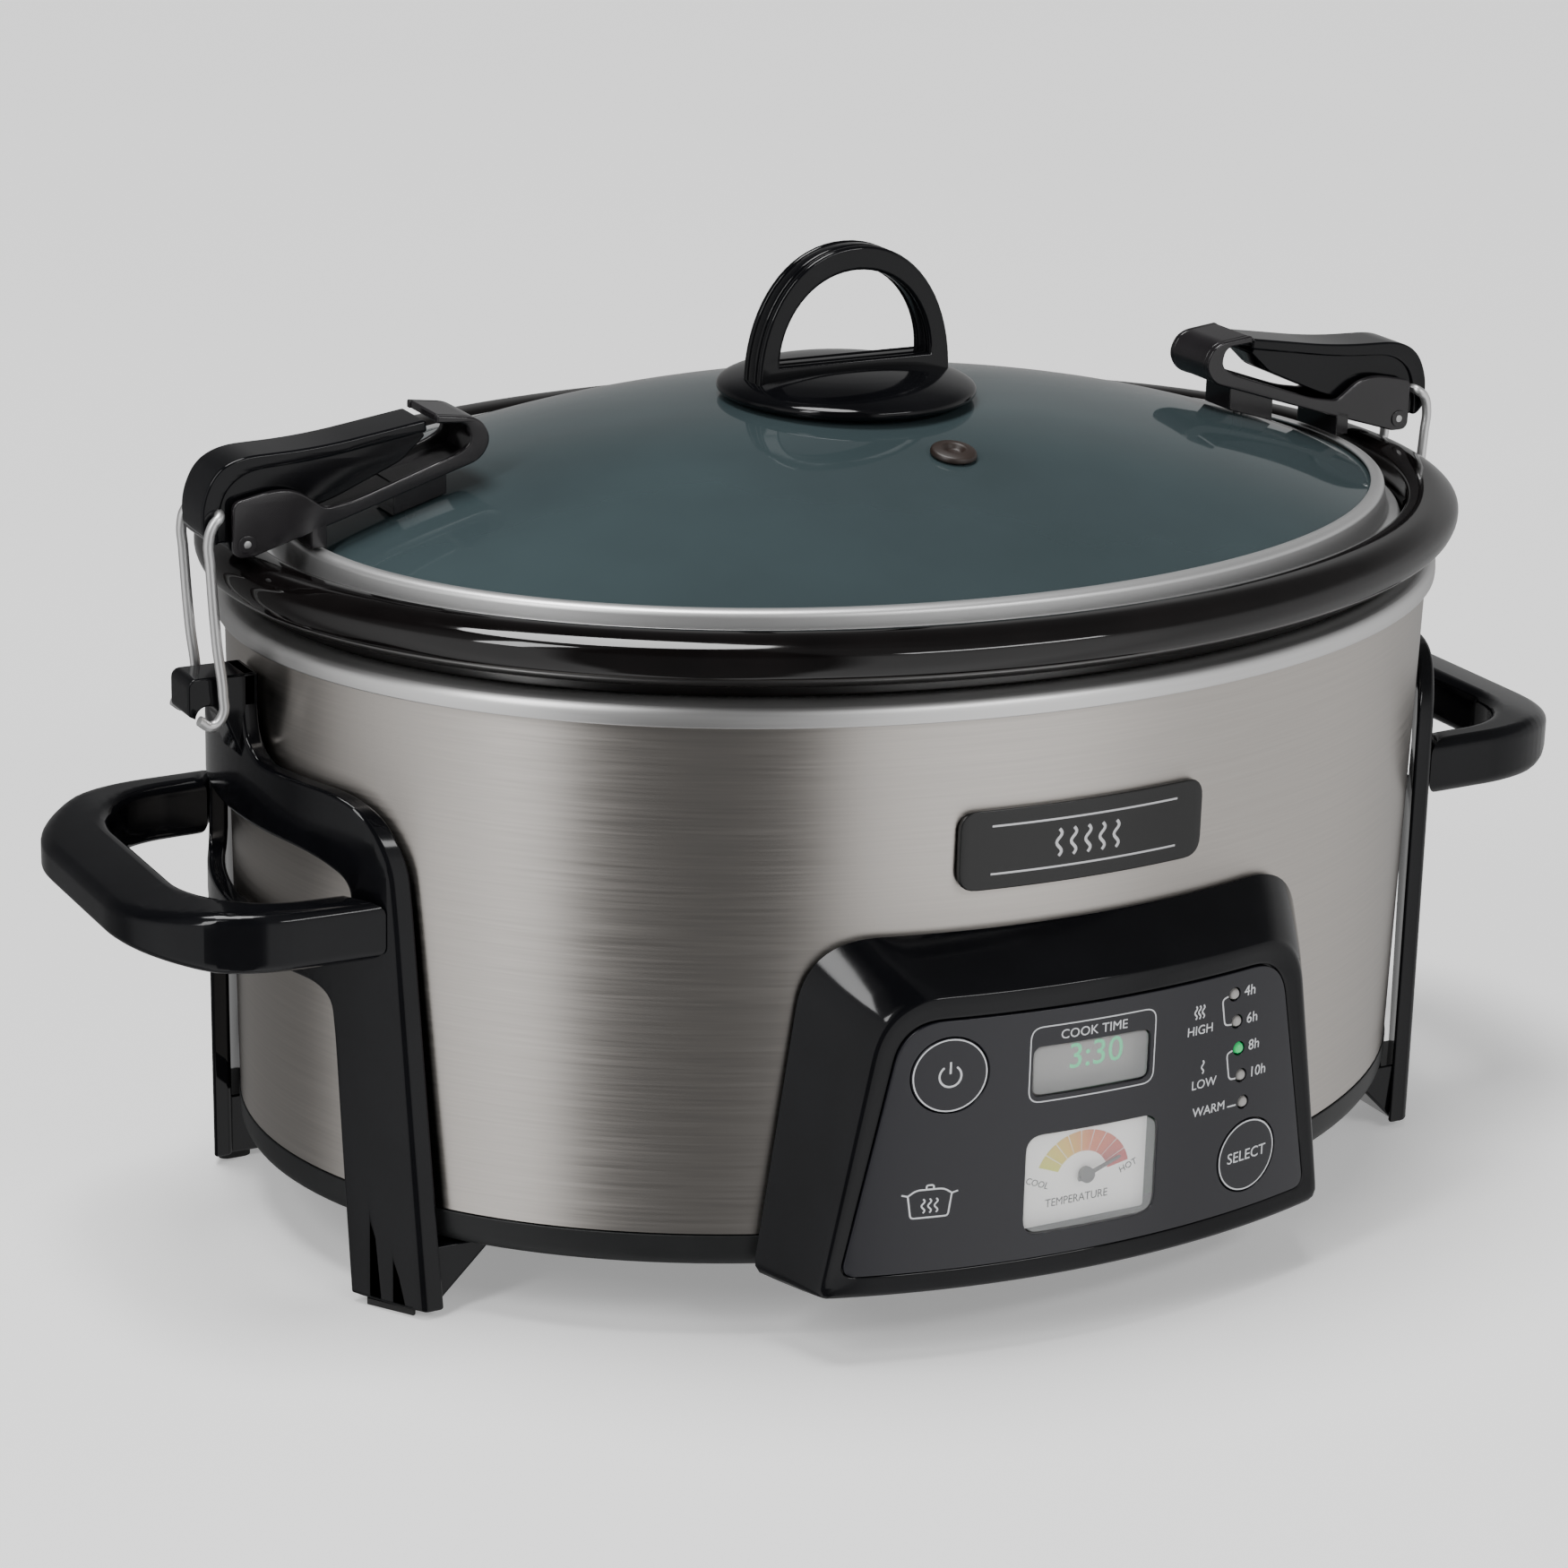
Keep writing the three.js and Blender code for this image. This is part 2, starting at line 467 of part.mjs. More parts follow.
function buildLid() {
  const steps = [0.16, 0.34, 0.52, 0.68, 0.82, 0.92];
  const edge = HALF_DEEP + GLASS.edge;
  const high = (out) => GLASS.low + GLASS.rise * (1 - out ** GLASS.power);
  const top = steps.map((out) => [edge * out - HALF_DEEP, high(out)]);
  const beneath = steps.map((out) => [edge * out - HALF_DEEP, high(out) - GLASS.thick]).reverse();
  let glass = oval([
    [null, high(0)], ...top, [GLASS.edge, GLASS.low], [GLASS.edge, GLASS.low - GLASS.thick], ...beneath,
        [null, high(0) - GLASS.thick],
  ], "scale");
  const ventTop = glassTop(VENT.x, VENT.y);
  glass = cut(
    glass,
    rodZ(3.3, 0, 0, 150, 250), rodZ(4.2, VENT.x, VENT.y, 150, 250),
    rodZ(2.2, CLIP_SCREW, 0, 150, 250, 12), rodZ(2.2, -CLIP_SCREW, 0, 150, 250, 12),
  );
  part("lid_glass", glass, CLEAR);

  part("lid_rim", oval([
    [-16.4, 171], [-8.4, 171], [-8, 171.6], [-8.4, 172.2], [-11.6, 172.6], [-12.4, 178.4], [-13.2, 180],
        [-14.8, 180.6],
    [-16.2, 180.3], [-16.2, 179.6], [-14, 179], [-13.7, 173.6], [-16.4, 173],
  ]), BRIGHT);
  part("lid_gasket", oval([[-13, CROCK.ledge + 0.3], [-7.6, CROCK.ledge + 0.3], [-7.4, 170.6],
      [-13, 170.6]]), RUBBER);

  // the vent grommet sits square to the sloping glass
  const slope = (Math.atan2(glassTop(VENT.x, VENT.y + 2) - glassTop(VENT.x, VENT.y - 2),
      4) * 180) / Math.PI;
  const grommet = turned([[0, -6.6], [5.2, -6.6], [5.2, -4.8], [3.2, -4.6], [3.2, 0.5], [5.9, 0.5],
      [5.6, 1.8], [2.4, 2.2], [1.6, 0.8], [0, 0.8]], 16);
  part("vent_grommet", grommet.rotate([slope, 0, 0]).translate([VENT.x, VENT.y, ventTop + 0.1]), RUBBER);

  const crown = high(0);
  const knob = turned([
    [0, crown + 0.4], [20, crown + 0.2], [32, crown - 0.1], [33.4, crown + 0.8], [33.4, crown + 2],
    [31, crown + 3.6], [24, crown + 5.6], [14, crown + 6.8], [0, crown + 7.2],
  ], 36);
  part("knob_base", cut(knob, rodZ(2.9, 0, 0, crown - 1, crown + 5, 12)), PLASTIC);

  const arch = (half, low, high, lean) => {
    const s = new THREE.Shape();
    s.moveTo(-half, low);
    s.bezierCurveTo(-half, low + lean, -half * 0.6, high, 0, high);
    s.bezierCurveTo(half * 0.6, high, half, low + lean, half, low);
    s.lineTo(-half, low);
    return s;
  };
  // the loop's foot follows the dished base under it
  const loop = alongY(arch(27.7, crown + 3.4, KNOB_TOP, 20), -4.6, 4.6, 9);
  const gap = alongY(arch(21.7, crown + 9, KNOB_TOP - 6.2, 12), -9, 9, 9);
  const under = turned([[0, crown - 4], [40, crown - 4], [40, crown + 0.9], [31.4, crown + 4],
      [24.2, crown + 6], [14.1, crown + 7.2], [0, crown + 7.6]], 36);
  part("knob_loop", cut(loop, gap, under), PLASTIC);

  const below = crown - GLASS.thick;
  part("knob_screw", turned([[0, below - 4.6], [5, below - 4.6], [5, below - 1.7], [2.5, below - 1.7],
      [2.5, crown + 4.6], [0, crown + 4.6]], 12), STEEL);
  part("knob_washer", cut(disc(9, 1, 16), disc(2.9, 3, 12)).translate([0, 0, below - 0.9]), RUBBER);
}

// ---- lid clips, drawn at the +X end in (x, z) ----
function bracket() {
  const [px, pz] = LATCH.pin;
  const cheek = rounded([
    [170.7, 194.4, 1.5], [156, 197.4, 4], [147, 190.8, 1], [138.6, 192.2, 1], [113, 200.8, 1.5],
    [108.6, 203.4, 2], [110, 208.4, 1.5], [118, 209, 0.3], [118, 211, 0.5], [106.4, 209.6, 3],
    [103.4, 204, 2], [106.2, 199, 2], [112, 197.2, 1], [143, 187.4, 1], [163.4, 181.4, 0.5],
    [165.4, 180.7, 0.5], [170.7, 180.7, 1.6],
  ]);
  const t = [LATCH.plateIn, LATCH.plateOut];
  let body = join(alongY(cheek, -t[1], -t[0], 2), alongY(cheek, t[0], t[1], 2));
  for (const s of [-1, 1]) body = join(body, rodY(3.4, px, pz, Math.min(s * t[0], s * t[1]),
      Math.max(s * t[0], s * t[1]), 12));
  // floor, two feet and the hood over the nose
  const floor = rounded([[164, 181.4], [164, 183.2], [143, 189.4], [112, 199], [107, 200.6], [107, 199],
      [112, 197.2], [143, 187.4]]);
  const hood = rounded([[117.6, 211], [106.4, 209.6, 2.6], [103.4, 204, 1.5], [106.2, 199, 1],
      [108.2, 199.6], [106.8, 204, 1], [108.4, 207.8, 1], [117.6, 209]]);
  body = join(body, alongY(floor, -t[1], t[1]), alongY(hood, -t[1], t[1], 2));
  const restAt = (x) => glassTop(x, 0) + 0.35;
  const inner = rounded([[114, restAt(114)], [128, restAt(128)], [128, 194.4], [114, 198.2]]);
  const outer = rounded([[146.8, 181.1], [150.8, 181.1], [150.8, 187], [146.8, 188]]);
  body = join(body, alongY(inner, -6, 6), alongY(outer, -t[1], t[1]));
  return cut(body, rodY(1.5, px, pz, -20, 20, 10), rodZ(1.6, CLIP_SCREW, 0, 180, 194, 12));
}

function lever() {
  const [px, pz] = LATCH.pin;
  const [lx, lz] = LATCH.link;
  const profile = rounded([
    [175.2, 184, 1], [177.6, 186.4, 1.5], [177.8, 194, 3], [174.4, 201.4, 4], [168, 204.9, 3],
        [147.6, 205.4, 3], [119.8, 209.6, 1],
    [119.4, 205.4, 0.5], [126, 199.8, 1], [143, 192.4, 2], [158, 187.8, 1], [165, 185], [170.4, 184, 1],
  ]);
  let body = join(alongY(profile, -LATCH.half, LATCH.half, 3), rodY(3.4, px, pz, -LATCH.half, LATCH.half,
      12));
  // hollow underside, leaving a skirt each side
  const hollow = rounded([[122, 200], [126, 197], [143, 190], [158, 185], [162.4, 185.4], [162.4, 202.4, 1],
      [147.6, 202.8, 1], [122, 206.8]]);
  body = cut(body, alongY(hollow, -LATCH.half + 1.8, LATCH.half - 1.8));
  return cut(body, rodY(1.55, px, pz, -20, 20, 10), rodY(WIRE.radius + SLACK, lx, lz, -20, 20, 12));
}

// The wire: a cross bar through the lever, two legs and a curl at the foot of each.
function bail() {
  const [lx, lz] = LATCH.link;
  const leg = [
    [175.7, 189.4], [176.9, 185.4], [176.6, 180], [175.2, 160], [173.8, 147], [174, 142], [176.8, 139.6],
        [180, 141.4],
  ];
  const y = WIRE.side;
  const bend = (side) => [
    new THREE.Vector3(lx, side * (y - 5), lz),
    new THREE.Vector3(lx, side * (y - 2), lz),
    new THREE.Vector3(lx + 0.7, side * (y - 0.4), lz - 0.5),
  ];
  const down = (side) => leg.map(([x, z]) => new THREE.Vector3(x, side * y, z));
  const path = new THREE.CatmullRomCurve3([
    ...down(-1).reverse(), ...bend(-1).reverse(), new THREE.Vector3(lx, 0, lz), ...bend(1), ...down(1),
  ], false, "centripetal");
  const section = new THREE.Shape();
  section.absarc(0, 0, WIRE.radius, 0, 2 * Math.PI);
  return solid(new THREE.ExtrudeGeometry(section, { extrudePath: path, steps: 56, curveSegments: 3,
      bevelEnabled: false }));
}

function buildClips() {
  const pieces = {
    latch_bracket: [bracket(), CHARCOAL],
    latch_lever: [lever(), PLASTIC],
    latch_bail: [bail(), BRIGHT],
    latch_pin: [rodY(1.1, ...LATCH.pin, -LATCH.plateOut - 0.4, LATCH.plateOut + 0.4, 12), BRIGHT],
  };
  const under = glassTop(CLIP_SCREW, 0) - GLASS.thick;
  pieces.latch_screw = [
    turned([[0, under - 4.4], [3.6, under - 4.4], [3.6, under - 1.3], [1.25, under - 1.3], [1.25, 193.4],
        [0, 193.4]], 10).translate([CLIP_SCREW, 0, 0]),
    STEEL,
  ];
  for (const [name, [body, look]] of Object.entries(pieces)) {
    part("right_" + name, body, look);
    part("left_" + name, mirrorX(body), look);
  }
}

buildBase();
buildFrames();
buildControls();
buildCrock();
buildLid();
buildClips();

// the frame's origin is the middle of the overall box
const box = new THREE.Box3().setFromObject(group);
group.position.set(-(box.min.x + box.max.x) / 2, -(box.min.y + box.max.y) / 2, -box.min.z);

export default group;
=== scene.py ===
"""An oval carry slow cooker in a studio: lift-out crock, clip-down glass lid, front control panel.

Pieces are modelled on a bench in millimetres, with the shell's oval centred on the origin and +Z up.
They are then seated in the mechanical frame, in metres.
"""

import json
import logging
import math
from collections.abc import Callable, Sequence
from dataclasses import dataclass
from enum import Enum

import bmesh
import bpy
from bmesh.types import BMesh
from mathutils import Matrix, Vector

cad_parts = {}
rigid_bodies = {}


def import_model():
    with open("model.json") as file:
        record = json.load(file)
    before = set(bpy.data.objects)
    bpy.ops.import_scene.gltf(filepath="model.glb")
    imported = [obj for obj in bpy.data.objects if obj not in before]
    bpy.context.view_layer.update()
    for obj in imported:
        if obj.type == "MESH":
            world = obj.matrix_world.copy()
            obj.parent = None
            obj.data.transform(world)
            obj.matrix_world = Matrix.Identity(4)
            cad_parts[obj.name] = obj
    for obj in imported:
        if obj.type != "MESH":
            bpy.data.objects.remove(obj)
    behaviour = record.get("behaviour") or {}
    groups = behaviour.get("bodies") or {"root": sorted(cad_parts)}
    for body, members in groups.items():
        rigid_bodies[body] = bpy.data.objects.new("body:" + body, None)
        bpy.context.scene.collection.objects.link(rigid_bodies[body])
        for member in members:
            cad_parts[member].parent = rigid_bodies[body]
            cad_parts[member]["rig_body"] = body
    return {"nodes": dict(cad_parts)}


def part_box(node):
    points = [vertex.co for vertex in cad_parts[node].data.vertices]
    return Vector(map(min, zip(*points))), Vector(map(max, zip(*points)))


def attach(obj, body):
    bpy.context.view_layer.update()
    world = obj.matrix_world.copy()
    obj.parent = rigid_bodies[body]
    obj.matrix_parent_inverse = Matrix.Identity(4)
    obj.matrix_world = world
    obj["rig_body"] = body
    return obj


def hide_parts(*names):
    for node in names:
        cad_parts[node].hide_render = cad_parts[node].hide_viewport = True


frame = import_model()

LOG = logging.getLogger("slow_cooker")
MM = 0.001
NODES: dict[str, bpy.types.Object] = frame["nodes"]
SHELL_LOW, SHELL_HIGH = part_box("outer_shell")
CENTRE_Y = (SHELL_LOW.y + SHELL_HIGH.y) / 2
SEAM = 1e-3  # millimetres within which a curve's seam vertices are one
AXIS_SEAM = 1e-4  # the same for the ends of a spin
PRINT_THICK = 0.08  # thickness of printed lines and letters
CAPITAL_SHARE = 0.7  # height of a capital against its font size
NEEDLE_BOSS = 2.0  # radius of the gauge needle's boss, which is centred on its pivot

Point = tuple[float, float]
Corner = tuple[float, ...]
Colour = tuple[float, float, float]


class Side(Enum):
    """The two ends of the cooker, with the sign of their x."""

    RIGHT = 1
    LEFT = -1

    @property
    def word(self) -> str:
        """The side's name as the frame's nodes spell it."""
        return self.name.lower()


# ---------------------------------------------------------------- finishes


class Graph:
    """A short way to wire one material's nodes."""

    def __init__(self, material: bpy.types.Material) -> None:
        """Starts from the material's own Principled shader."""
        material.use_nodes = True
        self.tree = material.node_tree
        self.shader = self.tree.nodes["Principled BSDF"]
        self.place = self.add("ShaderNodeTexCoord").outputs["Object"]

    def add(self, kind: str, **settings: object) -> bpy.types.Node:
        """Adds a node.

        Args:
            kind: the node's type.
            settings: plain attributes to set on it.

        Returns:
            The new node.
        """
        node = self.tree.nodes.new(kind)
        for key, value in settings.items():
            setattr(node, key, value)
        return node

    def link(self, out: bpy.types.NodeSocket, into: bpy.types.NodeSocket) -> None:
        """Joins two sockets."""
        self.tree.links.new(out, into)

    def noise(
        self, scale: float, detail: float = 3.0, stretch: Sequence[float] = (1, 1, 1),
    ) -> bpy.types.NodeSocket:
        """A noise value over the object's own space.

        Args:
            scale: lumps per metre.
            detail: octaves.
            stretch: scale along each axis, for brushed and drawn surfaces.

        Returns:
            The socket that holds the value.
        """
        mapping = self.add("ShaderNodeMapping")
        mapping.inputs["Scale"].default_value = stretch
        self.link(self.place, mapping.inputs["Vector"])
        texture = self.add("ShaderNodeTexNoise")
        texture.inputs["Scale"].default_value = scale
        texture.inputs["Detail"].default_value = detail
        self.link(mapping.outputs["Vector"], texture.inputs["Vector"])
        return texture.outputs["Fac"]

    def spread(self, value: bpy.types.NodeSocket, low: float, high: float) -> bpy.types.NodeSocket:
        """Maps a noise value's middle range onto low to high."""
        node = self.add("ShaderNodeMapRange")
        node.inputs["From Min"].default_value = 0.3
        node.inputs["From Max"].default_value = 0.7
        node.inputs["To Min"].default_value = low
        node.inputs["To Max"].default_value = high
        self.link(value, node.inputs["Value"])
        return node.outputs["Result"]

    def between(self, value: bpy.types.NodeSocket, dark: Colour, light: Colour) -> bpy.types.NodeSocket:
        """A colour that runs from dark to light with the value."""
        ramp = self.add("ShaderNodeValToRGB")
        ramp.color_ramp.elements[0].position = 0.3
        ramp.color_ramp.elements[1].position = 0.7
        ramp.color_ramp.elements[0].color = (*dark, 1)
        ramp.color_ramp.elements[1].color = (*light, 1)
        self.link(value, ramp.inputs["Fac"])
        return ramp.outputs["Color"]

    def bump(self, value: bpy.types.NodeSocket, height: float) -> None:
        """Raises the surface by the value, height metres at most."""
        node = self.add("ShaderNodeBump")
        node.inputs["Strength"].default_value = 1.0
        node.inputs["Distance"].default_value = height
        self.link(value, node.inputs["Height"])
        self.link(node.outputs["Normal"], self.shader.inputs["Normal"])


@dataclass(frozen=True)
class Finish:
    """One surface finish.

    Attributes:
        name: what a maker calls it.
        colour: its base colour, linear.
        roughness: middle roughness.
        metallic: 0 or 1.
        mottle: share by which the colour varies.
        blotch: lumps of that variation per metre.
        uneven: how far roughness varies either way.
        grain: height of the fine relief, in metres.
        fineness: lumps of fine relief per metre.
        stretch: stretch of both patterns along x, y and z.
        specular: specular level.
        coat: clear coat weight.
        anisotropy: how far highlights are drawn out across the brushing.
        glow: strength of its own light.
        clear: transmission weight.
        alpha: how far it covers what is behind it.
    """

    name: str
    colour: Colour
    roughness: float
    metallic: float = 0.0
    mottle: float = 0.08
    blotch: float = 60.0
    uneven: float = 0.03
    grain: float = 0.000004
    fineness: float = 2200.0
    stretch: tuple[float, float, float] = (1, 1, 1)
    specular: float = 0.5
    coat: float = 0.0
    anisotropy: float = 0.0
    glow: float = 0.0
    clear: float = 0.0
    alpha: float = 1.0

    def material(self) -> bpy.types.Material:
        """The finish as a material, made once."""
        found = bpy.data.materials.get(self.name)
        if found:
            return found
        made = bpy.data.materials.new(self.name)
        graph = Graph(made)
        self.wire(graph)
        return made

    def wire(self, graph: Graph) -> None:
        """Sets the shader's sockets and wires the patterns.

        Args:
            graph: the material's nodes.
        """
        inputs = graph.shader.inputs
        inputs["Metallic"].default_value = self.metallic
        inputs["Specular IOR Level"].default_value = self.specular
        inputs["Coat Weight"].default_value = self.coat
        inputs["Coat Roughness"].default_value = 0.04
        inputs["Anisotropic"].default_value = self.anisotropy
        inputs["Anisotropic Rotation"].default_value = 0.25 if self.anisotropy else 0.0
        inputs["Transmission Weight"].default_value = self.clear
        inputs["Alpha"].default_value = self.alpha
        if self.glow:
            inputs["Emission Color"].default_value = (*self.colour, 1)
            inputs["Emission Strength"].default_value = self.glow
        if self.anisotropy:
            tangent = graph.add("ShaderNodeTangent", direction_type="RADIAL", axis="Z")
            graph.link(tangent.outputs["Tangent"], inputs["Tangent"])
        broad = graph.noise(self.blotch, 4.0, self.stretch)
        dark = tuple(c * (1 - self.mottle) for c in self.colour)
        light = tuple(min(1.0, c * (1 + self.mottle)) for c in self.colour)
        graph.link(graph.between(broad, dark, light), inputs["Base Color"])
        fine = graph.noise(self.fineness, 2.0, self.stretch)
        rough = graph.spread(broad, max(0.02, self.roughness - self.uneven), self.roughness + self.uneven)
        graph.link(rough, inputs["Roughness"])
        graph.bump(fine, self.grain)


class GaugeScale(Finish):
    """The printed arc, from yellow at the cool end to red at the hot end."""

    def wire(self, graph: Graph) -> None:
        """Colours each block by its angle about the needle's pivot.

        Args:
            graph: the material's nodes.
        """
        super().wire(graph)
        split = graph.add("ShaderNodeSeparateXYZ")
        graph.link(graph.place, split.inputs["Vector"])
        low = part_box("gauge_needle")[0]
        pivot_x, pivot_z = low.x + NEEDLE_BOSS * MM, low.z + NEEDLE_BOSS * MM
        across = graph.add("ShaderNodeMath", operation="SUBTRACT")
        across.inputs[1].default_value = pivot_x
        graph.link(split.outputs["X"], across.inputs[0])
        up = graph.add("ShaderNodeMath", operation="SUBTRACT")
        up.inputs[1].default_value = pivot_z
        graph.link(split.outputs["Z"], up.inputs[0])
        angle = graph.add("ShaderNodeMath", operation="ARCTAN2")
        graph.link(up.outputs[0], angle.inputs[0])
        graph.link(across.outputs[0], angle.inputs[1])
        share = graph.add("ShaderNodeMapRange")
        share.inputs["From Min"].default_value = math.radians(165)
        share.inputs["From Max"].default_value = math.radians(15)
        graph.link(angle.outputs[0], share.inputs["Value"])
        ramp = graph.add("ShaderNodeValToRGB")
        stops = [
            (0.0, (0.72, 0.74, 0.02)), (0.3, (0.85, 0.52, 0.02)), (0.6, (0.78, 0.16, 0.02)),
            (1.0, (0.55, 0.01, 0.015)),
        ]
        elements = ramp.color_ramp.elements
        elements[0].position, elements[0].color = stops[0][0], (*stops[0][1], 1)
        elements[1].position, elements[1].color = stops[-1][0], (*stops[-1][1], 1)
        for position, colour in stops[1:-1]:
            elements.new(position).color = (*colour, 1)
        graph.link(share.outputs["Result"], ramp.inputs["Fac"])
        graph.link(ramp.outputs["Color"], graph.shader.inputs["Base Color"])


BRUSHED = (0.02, 0.02, 1.0)
STAINLESS = Finish(
    "brushed_stainless", (0.60, 0.565, 0.53), 0.36, metallic=1, mottle=0.06, blotch=1500, uneven=0.04,
    grain=0.000004, fineness=3000, stretch=BRUSHED, anisotropy=0.85,
)
ROLLED = Finish(
    "rolled_aluminium", (0.78, 0.775, 0.77), 0.40, metallic=1, mottle=0.04, blotch=900, stretch=BRUSHED,
    anisotropy=0.5,
)
POLISHED = Finish("polished_steel", (0.62, 0.60, 0.585), 0.12, metallic=1, mottle=0.05, blotch=90)
PLATED = Finish("zinc_plate", (0.50, 0.50, 0.50), 0.36, metallic=1, mottle=0.15, blotch=240)
GLOSS_BLACK = Finish(
    "gloss_black_moulding", (0.0035, 0.0036, 0.0045), 0.09, mottle=0.2, grain=0.0000012, fineness=500,
    specular=0.26, uneven=0.02,
)
CLIP_GREY = Finish("clip_moulding", (0.014, 0.0125, 0.014), 0.17, mottle=0.2, grain=0.0000015, specular=0.5)
CHARCOAL = Finish(
    "charcoal_paint", (0.012, 0.0125, 0.013), 0.42, mottle=0.12, grain=0.000012, fineness=1500, specular=0.3,
)
GLAZE = Finish(
    "black_glaze", (0.0035, 0.0028, 0.0028), 0.06, mottle=0.3, grain=0.000008, fineness=120, specular=0.5,
    uneven=0.02,
)
LID_GLASS = Finish(
    "tinted_lid_glass", (0.043, 0.062, 0.067), 0.05, mottle=0.14, blotch=14, uneven=0.015, grain=0.0000012,
    fineness=60, specular=0.45, alpha=0.93,
)
RUBBER = Finish("black_rubber", (0.010, 0.010, 0.010), 0.6, mottle=0.2, grain=0.00002, fineness=1400)
VENT_RUBBER = Finish("vent_rubber", (0.018, 0.010, 0.007), 0.45, mottle=0.2, grain=0.00001)
OVERLAY = Finish(
    "panel_overlay", (0.0042, 0.0048, 0.0080), 0.15, mottle=0.15, grain=0.0000012, fineness=1800,
    specular=0.1,
)
BADGE = Finish("badge_black", (0.0035, 0.0035, 0.0038), 0.14, mottle=0.2, specular=0.1)
INK = Finish("pale_ink", (0.62, 0.63, 0.65), 0.45, mottle=0.05)
SILVER_INK = Finish("silver_print", (0.70, 0.70, 0.72), 0.3, metallic=1, mottle=0.06)
CARD_INK = Finish("card_ink", (0.02, 0.02, 0.022), 0.6, mottle=0.1, specular=0.1)
# The gauge card is white, and it also glows a little though it is no lamp: painted light that brightens it
# behind its window.
CARD_WITH_PAINTED_GLOW = Finish("gauge_card_white", (0.86, 0.85, 0.84), 0.5, mottle=0.03, blotch=40, specular=0.1, glow=0.25)
SCALE = GaugeScale("gauge_scale_print", (0.8, 0.4, 0.05), 0.6, mottle=0.03, specular=0.05)
NEEDLE = Finish("needle_paint", (0.04, 0.04, 0.042), 0.4, mottle=0.1)
DISPLAY = Finish("display_grey", (0.090, 0.078, 0.075), 0.5, mottle=0.06, blotch=120, specular=0.1)
DIGIT = Finish("display_digit", (0.0, 0.45, 0.17), 0.5, mottle=0.1, specular=0.1, glow=1.0)
WINDOW = Finish("clear_window", (0.05, 0.05, 0.05), 0.05, mottle=0.02, specular=0.3, alpha=0.03)
LAMP_LIT = Finish("lamp_lit_green", (0.01, 0.42, 0.11), 0.2, mottle=0.1, glow=0.7)
LAMP_OFF = Finish("lamp_clear", (0.085, 0.08, 0.078), 0.25, mottle=0.15)
BOARD = Finish("solder_mask", (0.015, 0.09, 0.03), 0.4, mottle=0.2, blotch=300)
MOULDING = Finish("inner_moulding", (0.03, 0.03, 0.03), 0.5, mottle=0.15)
BLANKET = Finish("felt_blanket", (0.62, 0.58, 0.50), 0.95, mottle=0.2, blotch=300, grain=0.0003, fineness=900)
PAPER = Finish("floor_paper", (0.90, 0.90, 0.90), 0.8, mottle=0.01, blotch=3, specular=0.1, glow=0.34)


# ---------------------------------------------------------------- bench work


def rounded(corners: Sequence[Corner], steps: int = 6, closed: bool = True) -> list[Point]:
    """A polygon or polyline with softened corners.

    Args:
        corners: (u, v) or (u, v, radius) each.
        steps: segments in each softened corner.
        closed: whether the last corner joins the first.

    Returns:
        The points along it.
    """
    made: list[Point] = []
    count = len(corners)
    for i, corner in enumerate(corners):
        radius = corner[2] if len(corner) > 2 else 0.0
        ends = not closed and i in (0, count - 1)
        if radius <= 0 or ends:
            made.append((corner[0], corner[1]))
            continue
        here = Vector(corner[:2])
        before = Vector(corners[i - 1][:2]) - here
        after = Vector(corners[(i + 1) % count][:2]) - here
        a = here + before.normalized() * min(radius, 0.48 * before.length)
        b = here + after.normalized() * min(radius, 0.48 * after.length)
        for k in range(steps + 1):
            t = k / steps
            p = a * (1 - t) ** 2 + here * (2 * t * (1 - t)) + b * t**2
            made.append((p.x, p.y))
    return made


def circle(u: float, v: float, radius: float, steps: int = 48) -> list[Point]:
    """Points round a circle."""
    turns = [2 * math.pi * k / steps for k in range(steps)]
    return [(u + radius * math.cos(t), v + radius * math.sin(t)) for t in turns]


def round_rect(u: float, v: float, width: float, height: float, radius: float) -> list[Point]:
    """A rectangle with softened corners, centred on (u, v)."""
    a, b = width / 2, height / 2
    return rounded(
        [(u - a, v - b, radius), (u + a, v - b, radius), (u + a, v + b, radius), (u - a, v + b, radius)]
    )


def resample(points: Sequence[Point], count: int) -> list[Point]:
    """The same closed outline as count evenly spaced points."""
    loop = [Vector(p) for p in points]
    loop.append(loop[0])
    runs = [(b - a).length for a, b in zip(loop, loop[1:])]
    total = sum(runs)
    made, i, before = [], 0, 0.0
    for k in range(count):
        at = total * k / count
        while before + runs[i] < at and i < len(runs) - 1:
            before += runs[i]
            i += 1
        t = (at - before) / runs[i] if runs[i] else 0.0
        p = loop[i].lerp(loop[i + 1], t)
        made.append((p.x, p.y))
    return made


def wound(points: Sequence[Point], clockwise: bool) -> list[Point]:
    """The closed outline's points in the asked direction."""
    area = sum(a[0] * b[1] - b[0] * a[1] for a, b in zip(points, [*points[1:], points[0]]))
    return list(points) if (area < 0) == clockwise else list(reversed(points))


def absorb(target: BMesh, *sources: BMesh) -> BMesh:
    """Moves the sources' faces into the target and returns it."""
    for source in sources:
        carrier = bpy.data.meshes.new("carrier")
        source.to_mesh(carrier)
        source.free()
        target.from_mesh(carrier)
        bpy.data.meshes.remove(carrier)
    return target


